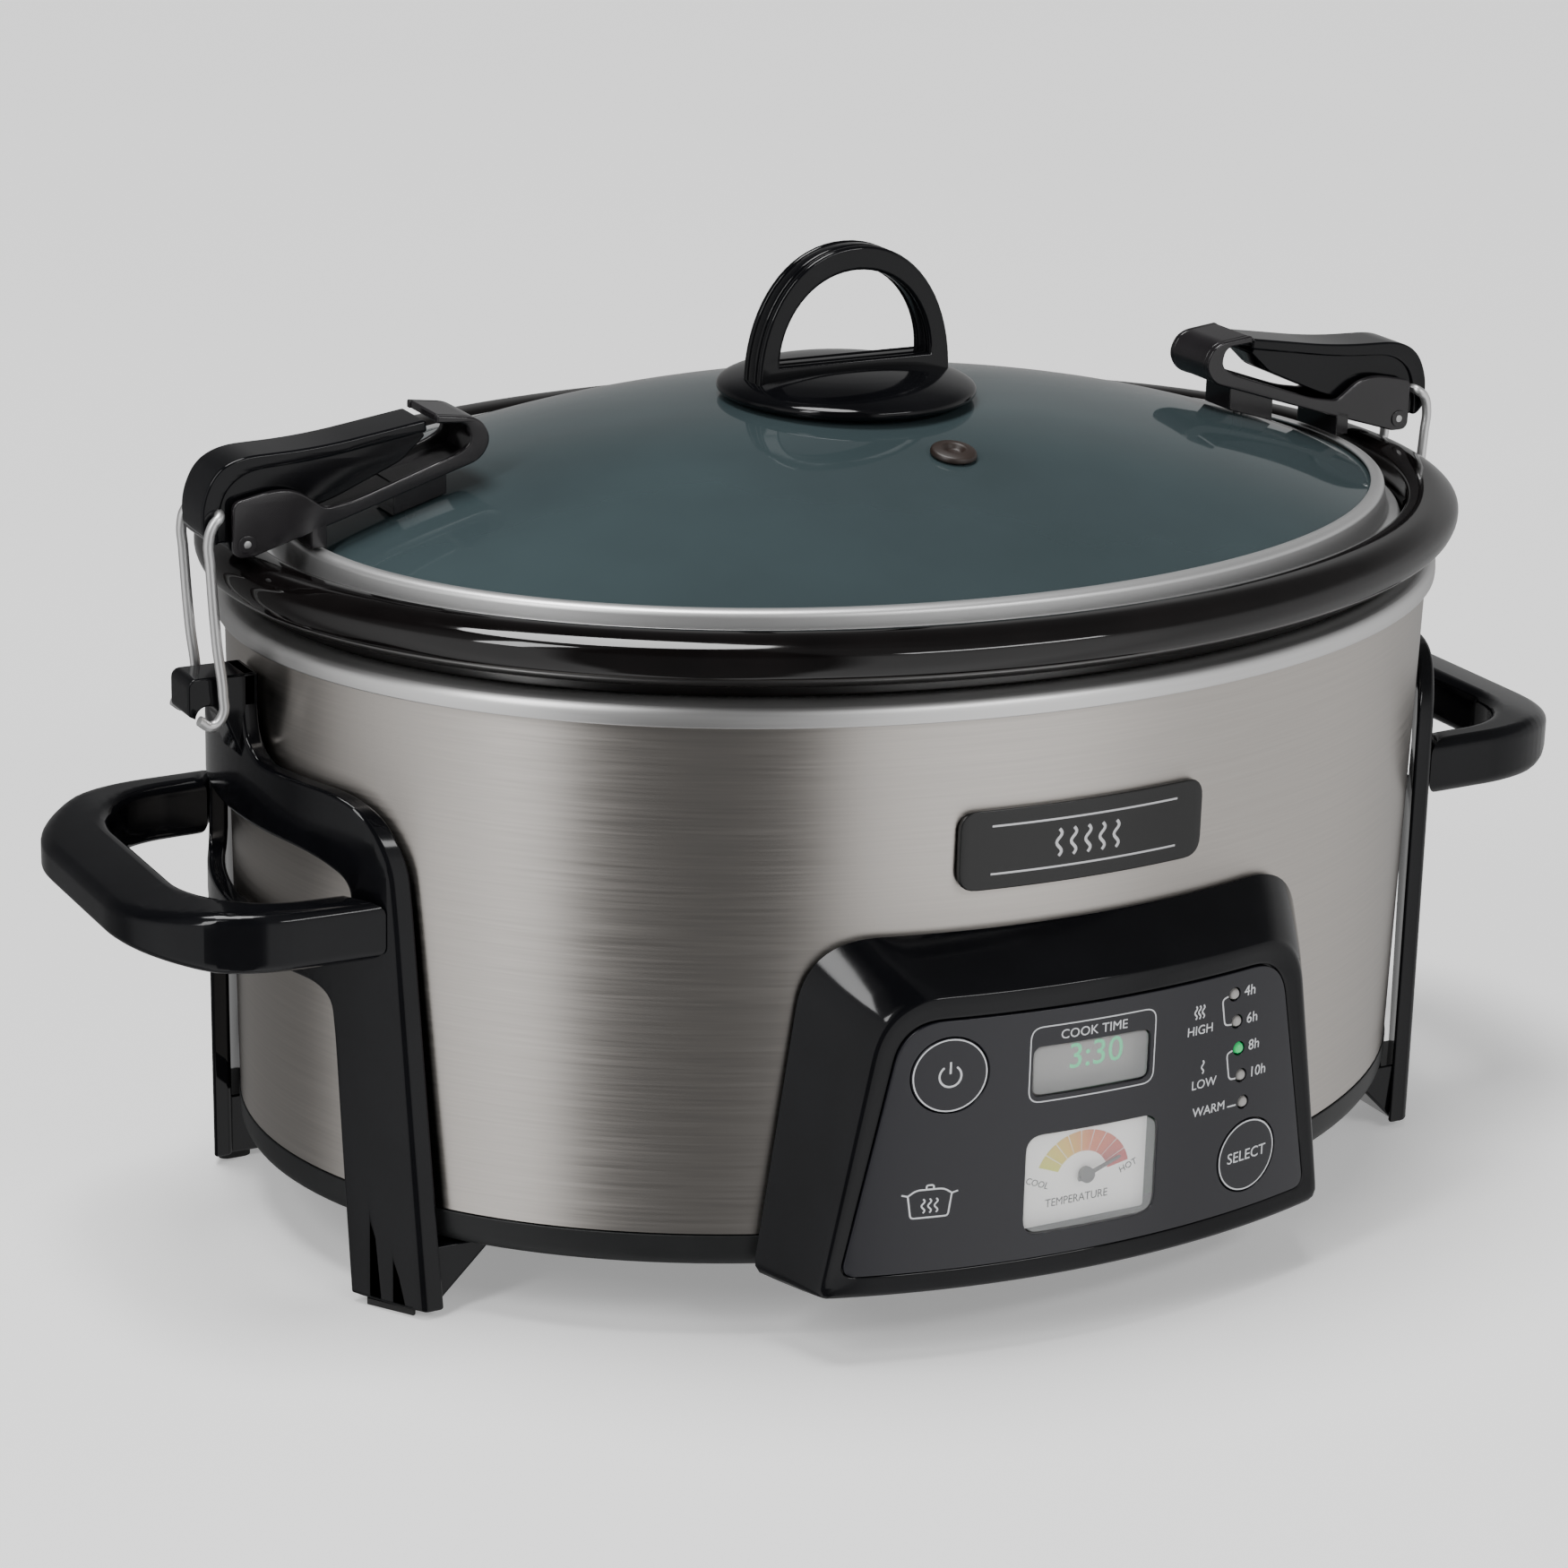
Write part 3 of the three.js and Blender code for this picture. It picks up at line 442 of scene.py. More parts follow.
def from_curve(curve: bpy.types.Curve) -> BMesh:
    """A curve's mesh with its seams closed, and the curve removed."""
    holder = bpy.data.objects.new("holder", curve)
    bpy.context.scene.collection.objects.link(holder)
    bpy.context.view_layer.update()
    ready = holder.evaluated_get(bpy.context.evaluated_depsgraph_get())
    mesh = bpy.data.meshes.new_from_object(ready)
    bm = bmesh.new()
    bm.from_mesh(mesh)
    bpy.data.objects.remove(holder)
    bpy.data.curves.remove(curve)
    bpy.data.meshes.remove(mesh)
    bmesh.ops.remove_doubles(bm, verts=bm.verts, dist=SEAM)
    bmesh.ops.recalc_face_normals(bm, faces=bm.faces)
    return bm


def plate(
    outline: Sequence[Point],
    thickness: float,
    edge: float = 0.0,
    holes: Sequence[Sequence[Point]] = (),
    edge_steps: int = 2,
) -> BMesh:
    """A flat plate with rounded edges, lying in u and v with w through its middle.

    Args:
        outline: its outer edge.
        thickness: from face to face.
        edge: radius of its edges.
        holes: outlines cut through it.
        edge_steps: segments in each edge's quarter round.

    Returns:
        The plate.
    """
    curve = bpy.data.curves.new("plate", "CURVE")
    curve.dimensions = "2D"
    curve.fill_mode = "BOTH"
    for loop in (wound(outline, True), *(wound(hole, False) for hole in holes)):
        spline = curve.splines.new("POLY")
        spline.points.add(len(loop) - 1)
        for spot, (u, v) in zip(spline.points, loop):
            spot.co = (u, v, 0, 1)
        spline.use_cyclic_u = True
    curve.extrude = thickness / 2 - edge
    curve.bevel_depth = edge
    curve.bevel_resolution = edge_steps
    curve.offset = -edge
    return from_curve(curve)


def stroke(points: Sequence[Point], width: float, closed: bool = False, height: float = PRINT_THICK) -> BMesh:
    """A printed line of the given width along the points."""
    curve = bpy.data.curves.new("stroke", "CURVE")
    curve.dimensions = "3D"
    curve.use_fill_caps = True
    spline = curve.splines.new("POLY")
    spline.points.add(len(points) - 1)
    for spot, (u, v) in zip(spline.points, points):
        spot.co = (u, v, 0, 1)
    spline.use_cyclic_u = closed
    curve.bevel_depth = width / 2
    curve.bevel_resolution = 1
    bm = from_curve(curve)
    bmesh.ops.scale(bm, vec=(1, 1, height / width), verts=bm.verts)
    return bm


def lettering(words: str, height: float, u: float, v: float, turn: float = 0.0, narrow: float = 1.0) -> BMesh:
    """Plain printed words, centred on (u, v).

    Args:
        words: what is printed.
        height: height of a capital letter.
        u: place across.
        v: place up.
        turn: turn of the line in degrees.
        narrow: width of the letters against their own.

    Returns:
        The letters, PRINT_THICK thick.
    """
    curve = bpy.data.curves.new("letters", "FONT")
    curve.body = words
    curve.size = height / CAPITAL_SHARE
    curve.align_x = "CENTER"
    curve.align_y = "CENTER"
    curve.extrude = PRINT_THICK / 2
    curve.resolution_u = 3
    bm = from_curve(curve)
    place = Matrix.Translation((u, v, 0)) @ Matrix.Rotation(math.radians(turn), 4, "Z")
    bmesh.ops.transform(bm, matrix=place @ Matrix.Diagonal((narrow, 1, 1, 1)), verts=bm.verts)
    return bm


def slice_up(bm: BMesh, axis: int, step: float) -> BMesh:
    """Cuts a mesh by even planes across an axis, so that it can be bent smoothly."""
    low = min(v.co[axis] for v in bm.verts)
    high = max(v.co[axis] for v in bm.verts)
    normal = Vector((0, 0, 0))
    normal[axis] = 1
    count = int((high - low) / step)
    for k in range(1, count + 1):
        everything = bm.verts[:] + bm.edges[:] + bm.faces[:]
        at = normal * (low + (high - low) * k / (count + 1))
        bmesh.ops.bisect_plane(bm, geom=everything, plane_co=at, plane_no=normal, dist=1e-5)
    return bm


def reshape(bm: BMesh, move: Callable[[Vector], Sequence[float]]) -> BMesh:
    """Puts every vertex where move says, and turns the faces outwards."""
    for vert in bm.verts:
        vert.co = move(vert.co.copy())
    bmesh.ops.recalc_face_normals(bm, faces=bm.faces)
    return bm


def along_y(bm: BMesh, y: float = 0.0) -> BMesh:
    """Stands a plate up: u runs along x, v along z and w along y about the given y."""
    return reshape(bm, lambda p: (p.x, y + p.z, p.y))


def bar(outline: Sequence[Corner], y0: float, y1: float, edge: float = 0.6, steps: int = 6) -> BMesh:
    """A bar whose section is the softened outline in x and z, from y0 to y1."""
    return along_y(plate(rounded(outline, steps), y1 - y0, edge), (y0 + y1) / 2)


def turned(profile: Sequence[Corner], steps: int = 64, softened: int = 4) -> BMesh:
    """A round piece about z from (radius, z, corner radius) corners that start and end on the axis."""
    bm = bmesh.new()
    points = rounded(profile, softened, closed=False)
    verts = [bm.verts.new((radius, 0, z)) for radius, z in points]
    edges = [bm.edges.new(pair) for pair in zip(verts, verts[1:])]
    geom = verts + edges
    bmesh.ops.spin(
        bm, geom=geom, cent=(0, 0, 0), axis=(0, 0, 1), angle=2 * math.pi, steps=steps, use_merge=True,
    )
    bmesh.ops.remove_doubles(bm, verts=bm.verts, dist=AXIS_SEAM)
    bmesh.ops.recalc_face_normals(bm, faces=bm.faces)
    return bm


def mirrored(bm: BMesh, side: Side) -> BMesh:
    """A piece drawn at the right end, carried to the given side."""
    if side is Side.LEFT:
        bmesh.ops.scale(bm, vec=(-1, 1, 1), verts=bm.verts)
        bmesh.ops.reverse_faces(bm, faces=bm.faces)
    return bm


def bench(node: str) -> tuple[Vector, Vector]:
    """A node's lowest and highest corners in bench millimetres."""
    low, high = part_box(node)
    shift = Vector((0, CENTRE_Y, 0))
    return (low - shift) / MM, (high - shift) / MM


def seat(
    bm: BMesh, name: str, finish: Finish, replaces: Sequence[str], crease: float = 32.0,
    weighted: bool = False,
) -> bpy.types.Object:
    """Makes a bench mesh a finished piece that stands for its nodes and rides on their body.

    Args:
        bm: the mesh, in bench millimetres. It is used up.
        name: the piece's name.
        finish: its surface.
        replaces: the nodes that it stands for. The first gives its body.
        crease: angle in degrees past which an edge stays sharp.
        weighted: whether large faces rule the shading of their corners.

    Returns:
        The finished piece.
    """
    made = lay_on(bm, name, finish, replaces[0], crease, weighted)
    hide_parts(*replaces)
    return made


def lay_on(
    bm: BMesh, name: str, finish: Finish, node: str, crease: float = 32.0, weighted: bool = False,
) -> bpy.types.Object:
    """Makes a bench mesh a finished piece that rides with a node without standing for it.

    Args:
        bm: the mesh, in bench millimetres. It is used up.
        name: the piece's name.
        finish: its surface.
        node: the node that it goes with.
        crease: angle in degrees past which an edge stays sharp.
        weighted: whether large faces rule the shading of their corners.

    Returns:
        The finished piece.
    """
    bmesh.ops.scale(bm, vec=(MM, MM, MM), verts=bm.verts)
    bmesh.ops.translate(bm, vec=(0, CENTRE_Y, 0), verts=bm.verts)
    mesh = bpy.data.meshes.new(name)
    bm.to_mesh(mesh)
    bm.free()
    mesh.shade_smooth()
    mesh.set_sharp_from_angle(angle=math.radians(crease))
    mesh.materials.append(finish.material())
    made = bpy.data.objects.new(name, mesh)
    bpy.context.scene.collection.objects.link(made)
    if weighted:
        normals = made.modifiers.new("face_weights", "WEIGHTED_NORMAL")
        normals.keep_sharp = True
    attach(made, NODES[node]["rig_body"])
    LOG.info("%s: %d faces, rides with %s", name, len(mesh.polygons), node)
    return made


def dress(node: str, finish: Finish) -> None:
    """Gives a carried-over node its finish."""
    data = NODES[node].data
    data.materials.clear()
    data.materials.append(finish.material())


@dataclass(frozen=True)
class Oval:
    """The shell's outline at its top, an ellipse; offsets grow it evenly along both axes."""

    half_long: float
    half_deep: float
    steps: int = 168

    def front(self, x: float, offset: float) -> float:
        """The y of the front at x on the oval grown by the offset."""
        return -(self.half_deep + offset) * math.sqrt(max(0.0, 1 - (x / (self.half_long + offset)) ** 2))

    def end(self, y: float, offset: float) -> float:
        """The x of the right end at y on the oval grown by the offset."""
        return (self.half_long + offset) * math.sqrt(max(0.0, 1 - (y / (self.half_deep + offset)) ** 2))

    def turn(
        self, profile: Sequence[Corner], closed: bool = True, scaled: bool = False, softened: int = 4,
    ) -> BMesh:
        """Turns a profile round the oval.

        Args:
            profile: (offset, z, corner radius) corners, open ones starting and ending on the axis.
            closed: whether the profile is a closed section.
            scaled: whether the oval keeps its proportions towards its middle.
            softened: segments in each softened corner.

        Returns:
            The turned mesh.
        """
        bm = bmesh.new()
        points = rounded(profile, softened, closed)
        verts = [bm.verts.new((self.half_deep + d, 0, z)) for d, z in points]
        pairs = list(zip(verts, verts[1:])) + ([(verts[-1], verts[0])] if closed else [])
        edges = [bm.edges.new(pair) for pair in pairs]
        geom = verts + edges
        bmesh.ops.spin(
            bm, geom=geom, cent=(0, 0, 0), axis=(0, 0, 1), angle=2 * math.pi, steps=self.steps, use_merge=True
        )
        bmesh.ops.remove_doubles(bm, verts=bm.verts, dist=AXIS_SEAM)
        outer = self.half_deep + max(d for d, _ in points)
        extra = self.half_long - self.half_deep
        for vert in bm.verts:
            reach = math.hypot(vert.co.x, vert.co.y)
            if reach > 1e-6:
                vert.co.x *= 1 + extra / (outer if scaled else reach)
        bmesh.ops.recalc_face_normals(bm, faces=bm.faces)
        return bm

    def wrap_front(self, bm: BMesh, offset: float, step: float = 2.5) -> BMesh:
        """Bends a plate onto the front: u runs along x, v along z and w outwards from the offset."""
        slice_up(bm, 0, step)
        return reshape(bm, lambda p: (p.x, self.front(p.x, offset + p.z), p.y))

    def wrap_end(self, bm: BMesh, offset: float, step: float = 3.0) -> BMesh:
        """Bends a plate onto the right end: u runs along y, v along z and w outwards."""
        slice_up(bm, 0, step)
        return reshape(bm, lambda p: (self.end(p.x, offset + p.z), p.x, p.y))

    @property
    def axis(self) -> float:
        """The offset that puts a profile's point on the axis."""
        return -self.half_deep


SHELL_OVAL = Oval(SHELL_HIGH.x / MM, (SHELL_HIGH.y - CENTRE_Y) / MM)


# ---------------------------------------------------------------- body


@dataclass
class Body:
    """Tray, brushed shell, rolled flange, name plate and cord gland."""

    wall: float = 1.2
    draft: float = 2.4
    flange_lip: float = 2.4
    well_top: float = -9.0

    def build(self) -> None:
        """Builds and dresses the body."""
        self.build_shell()
        self.build_tray()
        self.build_well()
        self.build_plate()
        self.build_gland()
        dress("heat_shield", PLATED)
        dress("heater_band", PLATED)
        dress("insulation_blanket", BLANKET)
        dress("temperature_probe", PLATED)

    def build_shell(self) -> None:
        """The brushed wrap, a little wider at its top."""
        low, high = bench("outer_shell")
        profile = [
            (-self.draft, low.z), (0, high.z), (-self.wall, high.z), (-self.draft - self.wall, low.z),
        ]
        seat(SHELL_OVAL.turn(profile), "brushed_shell", STAINLESS, ["outer_shell"])

    def build_tray(self) -> None:
        """The dished base tray under the shell."""
        low, high = bench("base_tray")
        top = bench("outer_shell")[0].z - 0.4
        profile = [
            (SHELL_OVAL.axis, low.z), (-3.6, low.z, 1.6), (-2.3, low.z + 2.6, 1.2), (-2.1, top, 0.4),
            (-4.1, top), (-4.1, high.z), (-6, high.z), (-6, low.z + 2.6), (SHELL_OVAL.axis, low.z + 2.6),
        ]
        seat(SHELL_OVAL.turn(profile, closed=False), "base_dish", CHARCOAL, ["base_tray"])

    def build_well(self) -> None:
        """The heating well, with its top rolled out over the shell."""
        low, high = bench("heating_well")
        floor, top, foot, rim = low.z + self.wall, high.z, -16.0, self.well_top
        profile = [
            (SHELL_OVAL.axis, floor), (foot, floor, 4), (rim, top - 0.4, 2), (-0.4, top, 2.4),
            (self.flange_lip, top - 1.6, 2.2),
            (self.flange_lip - 0.1, top - 5.6, 0.5), (0.9, top - 5.6, 0.3), (0.7, top - 2, 0.8),
            (rim + 2, top - self.wall, 1),
            (foot + self.wall, floor - 0.4, 3), (foot - 2, floor - self.wall, 1),
            (SHELL_OVAL.axis, floor - self.wall),
        ]
        seat(SHELL_OVAL.turn(profile, closed=False), "rolled_flange_and_well", ROLLED, ["heating_well"])

    def build_plate(self) -> None:
        """The name plate, left without a name: steam lines between two rules."""
        low, high = bench("name_badge")
        middle = (low.z + high.z) / 2
        width, height = high.x - low.x, high.z - low.z
        slab = plate(round_rect(0, middle, width, height, 5), 1.3, 0.4)
        seat(SHELL_OVAL.wrap_front(slab, 0.65), "blank_name_plate", BADGE, ["name_badge"])
        marks = bmesh.new()
        for row in (-1, 1):
            rule = [(-0.38 * width, middle + row * 0.3 * height), (0.38 * width, middle + row * 0.3 * height)]
            absorb(marks, stroke(rule, 0.5))
        for k in range(5):
            wave = steam((k - 2) * 4.0, middle, 0.34 * height)
            absorb(marks, stroke(wave, 0.8))
        lay_on(SHELL_OVAL.wrap_front(marks, 1.32), "plate_ornament", SILVER_INK, "name_badge")

    def build_gland(self) -> None:
        """The open cord gland at the back."""
        low, high = bench("cord_gland")
        middle = (low.z + high.z) / 2
        radius = (high.z - low.z) / 2
        disc = plate(circle(0, middle, radius), high.y - low.y - 2.1, 0.8, [circle(0, middle, 3.4)])
        seat(
            along_y(disc, (low.y + 2.1 + high.y) / 2), "open_cord_gland", GLOSS_BLACK, ["cord_gland"],
            weighted=True,
        )


def steam(u: float, v: float, height: float, sway: float = 0.7, steps: int = 14) -> list[Point]:
    """A wavy line of steam, centred on (u, v)."""
    waves = 1.5
    return [
        (u + sway * math.sin(2 * math.pi * waves * k / steps), v + height * (k / steps - 0.5))
        for k in range(steps + 1)
    ]


# ---------------------------------------------------------------- frames and handles


@dataclass
class EndFrame:
    """One end's leg frame with its wire post, its carrying handle, pads and screws."""

    side: Side
    inner: float = 0.6
    outer: float = 5.2
    top: float = 130.3
    post_half: float = 6.0
    foot_low: float = 1.9

    def build(self) -> None:
        """Builds and dresses this end."""
        word = self.side.word
        frame_mesh = absorb(self.frame_plate(), self.post(), self.toe(1), self.toe(-1))
        frame_name = f"{word}_leg_frame"
        seat(
            mirrored(frame_mesh, self.side), f"{word}_legs_and_post", GLOSS_BLACK, [frame_name],
            weighted=True,
        )
        grip = mirrored(self.handle(), self.side)
        seat(grip, f"{word}_carry_handle", GLOSS_BLACK, [f"{word}_handle"], weighted=True)
        for end in ("front", "back"):
            dress(f"foot_pad_{word}_{end}", RUBBER)
            dress(f"foot_screw_{word}_{end}", PLATED)

    def frame_plate(self) -> BMesh:
        """The two legs, the cross bar, the slot over it and the neck, bent round the shell's end."""
        half = [
            (self.post_half, 150.8, 0.5), (self.post_half, 140, 3), (8, 134, 3), (14, self.top, 4),
            (47, self.top, 12), (56.6, 118, 9), (58, 103, 4), (64.8, self.foot_low, 0.8),
            (45.8, self.foot_low, 0.8), (41.4, 68, 3), (40, 80.6, 9),
        ]
        outline = half + [(-u, v, r) for u, v, r in reversed(half)]
        slot = [
            (-45, 89.4, 5), (45, 89.4, 5), (46.5, 109, 5), (34, 113.6, 12), (-34, 113.6, 12), (-46.5, 109, 5),
        ]
        flat = plate(rounded(outline, 8), self.outer - self.inner, 1.1, [rounded(slot, 8)], 3)
        return SHELL_OVAL.wrap_end(flat, (self.inner + self.outer) / 2)

    def post(self) -> BMesh:
        """The block that the lid wires hook under, with a half-round notch in its underside."""
        turns = [math.radians(15 * k) for k in range(13)]
        notch = [(176.6 + 3 * math.cos(t), 140.6 + 3 * math.sin(t)) for t in turns]
        section = rounded([(164, 127.8, 0.5), (167.4, 128.2, 2), (172.6, 140.6, 2)], 4, closed=False)
        outline = section + list(reversed(notch)) + rounded(
            [(179.6, 140.6), (181.6, 141.6, 1), (181.6, 149.6, 1.4), (180.2, 150.8, 1), (164, 150.8)], 4,
            closed=False
        )
        return along_y(plate(outline, 2 * self.post_half, 0.6))

    def toe(self, hand: int) -> BMesh:
        """The foot of one leg, turned in under the base."""
        low = self.foot_low
        wedge = bar([(142.5, low, 1), (156, low, 1), (158, 18.2, 2), (126, 18.2, 1)], 47, 63)
        for vert in wedge.verts:
            vert.co.x = min(vert.co.x, SHELL_OVAL.end(vert.co.y, self.outer - 2.4))
            vert.co.y *= hand
        bmesh.ops.recalc_face_normals(wedge, faces=wedge.faces)
        return wedge

    def handle(self) -> BMesh:
        """The D loop: two arms and a grip whose outer side is slimmer."""
        low, high = bench("right_handle")
        out = high.x
        root = self.outer + 0.3
        near = SHELL_OVAL.end(56.2, root)
        deep = SHELL_OVAL.end(45.6, root)
        half = [(near, 56.2), (189, 55, 17), (out, 33, 14)]
        inner = [(deep, 45.6), (178, 44.6, 13), (191.4, 30, 11)]
        outline = (
            [(x, y, *r) for x, y, *r in half]
            + [(x, -y, *r) for x, y, *r in reversed(half)]
            + [(x, -y, *r) for x, y, *r in inner]
            + [(x, y, *r) for x, y, *r in reversed(inner)]
        )
        middle = (low.z + high.z) / 2
        loop = plate(rounded(outline, 10), high.z - low.z, 3.4, (), 4)
        slice_up(loop, 0, 3.0)

        def settle(p: Vector) -> Vector:
            """Slims the grip towards its outer edge."""
            slim = 1 - 0.42 * max(0.0, min(1.0, (p.x - 190) / (out - 190))) ** 1.3
            return Vector((p.x, p.y, middle + p.z * slim))

        return reshape(loop, settle)


# ---------------------------------------------------------------- controls


@dataclass
class Controls:
    """The control housing, its printed panel, windows, lamps, gauge and buttons."""

    foot: float = 17.5
    face: float = 15.4
    rim: float = 16.0
    power: Point = (-41.7, 73.2)
    select: Point = (44.6, 37.3)
    button: float = 9.5
    screen: Corner = (-4.4, 71.3, 31.6, 12.0)
    gauge: Corner = (-3.0, 42.0, 36.0, 25.0)
    slack: float = 0.4

    def build(self) -> None:
        """Builds and dresses the controls."""
        self.build_housing()
        self.build_panel()
        self.build_windows()
        self.build_buttons()
        self.build_lamps()
        self.build_print()
        self.build_gauge()
        dress("control_board", BOARD)
        for node in ("power_switch", "select_switch", "gauge_body"):
            dress(node, MOULDING)
        dress("display_module", DISPLAY)
        # The gauge face takes the white card, with its painted glow.
        dress("gauge_face", CARD_WITH_PAINTED_GLOW)
        dress("gauge_needle", NEEDLE)

    @staticmethod
    def trapezoid(
        low: float, high: float, z0: float, z1: float, foot: float, shoulder: float, inset: float = 0.0,
    ) -> list[Point]:
        """The panel's outline, drawn in by the inset and starting at the middle of its foot."""
        low, high, z0, z1 = low - inset, high - inset, z0 + inset, z1 - inset
        foot, shoulder = max(foot - inset, 1), max(shoulder - inset, 2)
        corners = [(0, z0), (low, z0, foot), (high, z1, shoulder), (-high, z1, shoulder), (-low, z0, foot)]
        return rounded(corners, 12)

    def build_housing(self) -> None:
        """The housing, lofted from the shell out to its rim and in again to the panel's seat."""
        at_shell = (79.2, 69.0, self.foot, 103.6, 5, 17)
        at_rim = (72.2, 58.6, self.foot, 93.6, 4, 15)
        seat_line = (66.6, 53.4, 22.6, 87.4, 4, 10)

        def mid(share: float) -> tuple[float, ...]:
            """The outline part of the way from the shell to the rim."""
            return tuple(a + (b - a) * share for a, b in zip(at_shell, at_rim))

        loops: list[tuple[float, list[Point]]] = [
            (0.6, self.trapezoid(*at_shell)),
            (5.6, self.trapezoid(*mid(0.33))),
            (10.6, self.trapezoid(*mid(0.66))),
            (14.4, self.trapezoid(*mid(0.93))),
        ]
        for turn in (20, 45, 70, 90):
            t = math.radians(turn)
            loops.append(
                (14.4 + 1.6 * math.sin(t), self.trapezoid(*mid(0.97), inset=1.6 * (1 - math.cos(t))))
            )
        loops += [
            (15.75, self.trapezoid(*mid(1.0), inset=3.0)),
            (15.2, self.trapezoid(*seat_line, inset=-0.9)),
            (15.1, self.trapezoid(*seat_line, inset=-0.25)),
            (14.9, self.trapezoid(*seat_line)),
            (13.9, self.trapezoid(*seat_line)),
            (13.9, self.trapezoid(*seat_line, inset=2.5)),
            (12.4, self.trapezoid(*seat_line, inset=2.5)),
            (12.0, self.trapezoid(*mid(0.8), inset=3.0)),
            (0.6, self.trapezoid(*at_shell, inset=3.0)),
        ]
        bm = bmesh.new()
        rings = []
        for offset, outline in loops:
            points = resample(outline, 216)
            verts = [bm.verts.new((x, SHELL_OVAL.front(x, offset), z)) for x, z in points]
            rings.append([bm.edges.new((a, b)) for a, b in zip(verts, verts[1:] + verts[:1])])
        for near, far in zip(rings, rings[1:] + rings[:1]):
            bmesh.ops.bridge_loops(bm, edges=near + far)
        bmesh.ops.recalc_face_normals(bm, faces=bm.faces)
        seat(bm, "panel_housing", GLOSS_BLACK, ["control_housing"], crease=40)

    def window_hole(self, place: Corner, radius: float, grow: float = 0.0) -> list[Point]:
        """The outline of a window, grown by the play round it."""
        u, v, width, height = place
        return round_rect(u, v, width + 2 * grow, height + 2 * grow, radius + grow)

    def build_panel(self) -> None:
        """The printed overlay with its windows and holes."""
        outline = self.trapezoid(66.2, 53.0, 23.0, 87.0, 4, 10)
        holes = [
            self.window_hole(self.screen, 2, self.slack),
            self.window_hole(self.gauge, 4, self.slack),
            circle(*self.power, self.button + 0.25),
            circle(*self.select, self.button + 0.25),
            *(circle(x, z, 1.8, 24) for x, z in self.lamp_places().values()),
        ]
        sheet = plate(outline, 1.1, 0.25, holes)
        SHELL_OVAL.wrap_front(sheet, self.face - 0.55)
        seat(sheet, "printed_panel", OVERLAY, ["control_panel"], weighted=True)

    @staticmethod
    def lamp_places() -> dict[str, Point]:
        """Where each indicator lamp stands on the panel."""
        places = {}
        for hour in ("4h", "6h", "8h", "10h", "warm"):
            low, high = bench(f"led_{hour}")
            places[f"led_{hour}"] = ((low.x + high.x) / 2, (low.z + high.z) / 2)
        return places

    def build_windows(self) -> None:
        """The display window and the taller gauge window."""
        windows = (("display", self.screen, 2, "display_lens"), ("gauge", self.gauge, 4, "gauge_lens"))
        for word, place, corner, node in windows:
            pane = SHELL_OVAL.wrap_front(plate(self.window_hole(place, corner), 0.8, 0.2), self.face - 0.7)
            seat(pane, f"{word}_window", WINDOW, [node], weighted=True)

    def build_buttons(self) -> None:
        """Two flush caps with printed rings, and their collars."""
        power_ring = circle(*self.power, self.button - 0.45, 64)
        sign = [stroke(power_ring, 0.34, True)]
        x, z = self.power
        arc = [math.radians(125 + 290 * k / 20) for k in range(21)]
        sign.append(stroke([(x + 2.7 * math.cos(t), z - 0.2 + 2.7 * math.sin(t)) for t in arc], 0.5))
        sign.append(stroke([(x, z + 0.4), (x, z + 3.4)], 0.5))
        select_ring = circle(*self.select, self.button - 0.45, 64)
        word = [stroke(select_ring, 0.34, True), lettering("SELECT", 2.8, *self.select, narrow=1.0)]
        for name, place, marks in (("power", self.power, sign), ("select", self.select, word)):
            cap = plate(circle(*place, self.button - 0.05, 72), 4.8, 0.25)
            collar = plate(circle(*place, self.button + 1.3, 48), 1.2, 0.2)
            caps = absorb(SHELL_OVAL.wrap_front(cap, self.face - 2.35), SHELL_OVAL.wrap_front(collar, 10.4))
            seat(caps, f"{name}_cap", OVERLAY, [f"{name}_button"], weighted=True)
            print_mesh = absorb(bmesh.new(), *marks)
            lay_on(
                SHELL_OVAL.wrap_front(print_mesh, self.face + 0.07, 1.5), f"{name}_print", INK,
                f"{name}_button",
            )

    def build_lamps(self) -> None:
        """Five small domed lamps."""
        for node, (x, z) in self.lamp_places().items():
            low, high = bench(node)
            rod = turned(
                [(0, low.y - 0.1), (0.9, low.y, 0.6), (1.5, low.y + 0.9, 0.5), (1.5, high.y, 0), (0, high.y)],
                24,
            )
            reshape(rod, lambda p, x=x, z=z: (x + p.x, p.z, z + p.y))
            lit = node == "led_8h"
            seat(rod, node.replace("led", "lamp"), LAMP_LIT if lit else LAMP_OFF, [node])

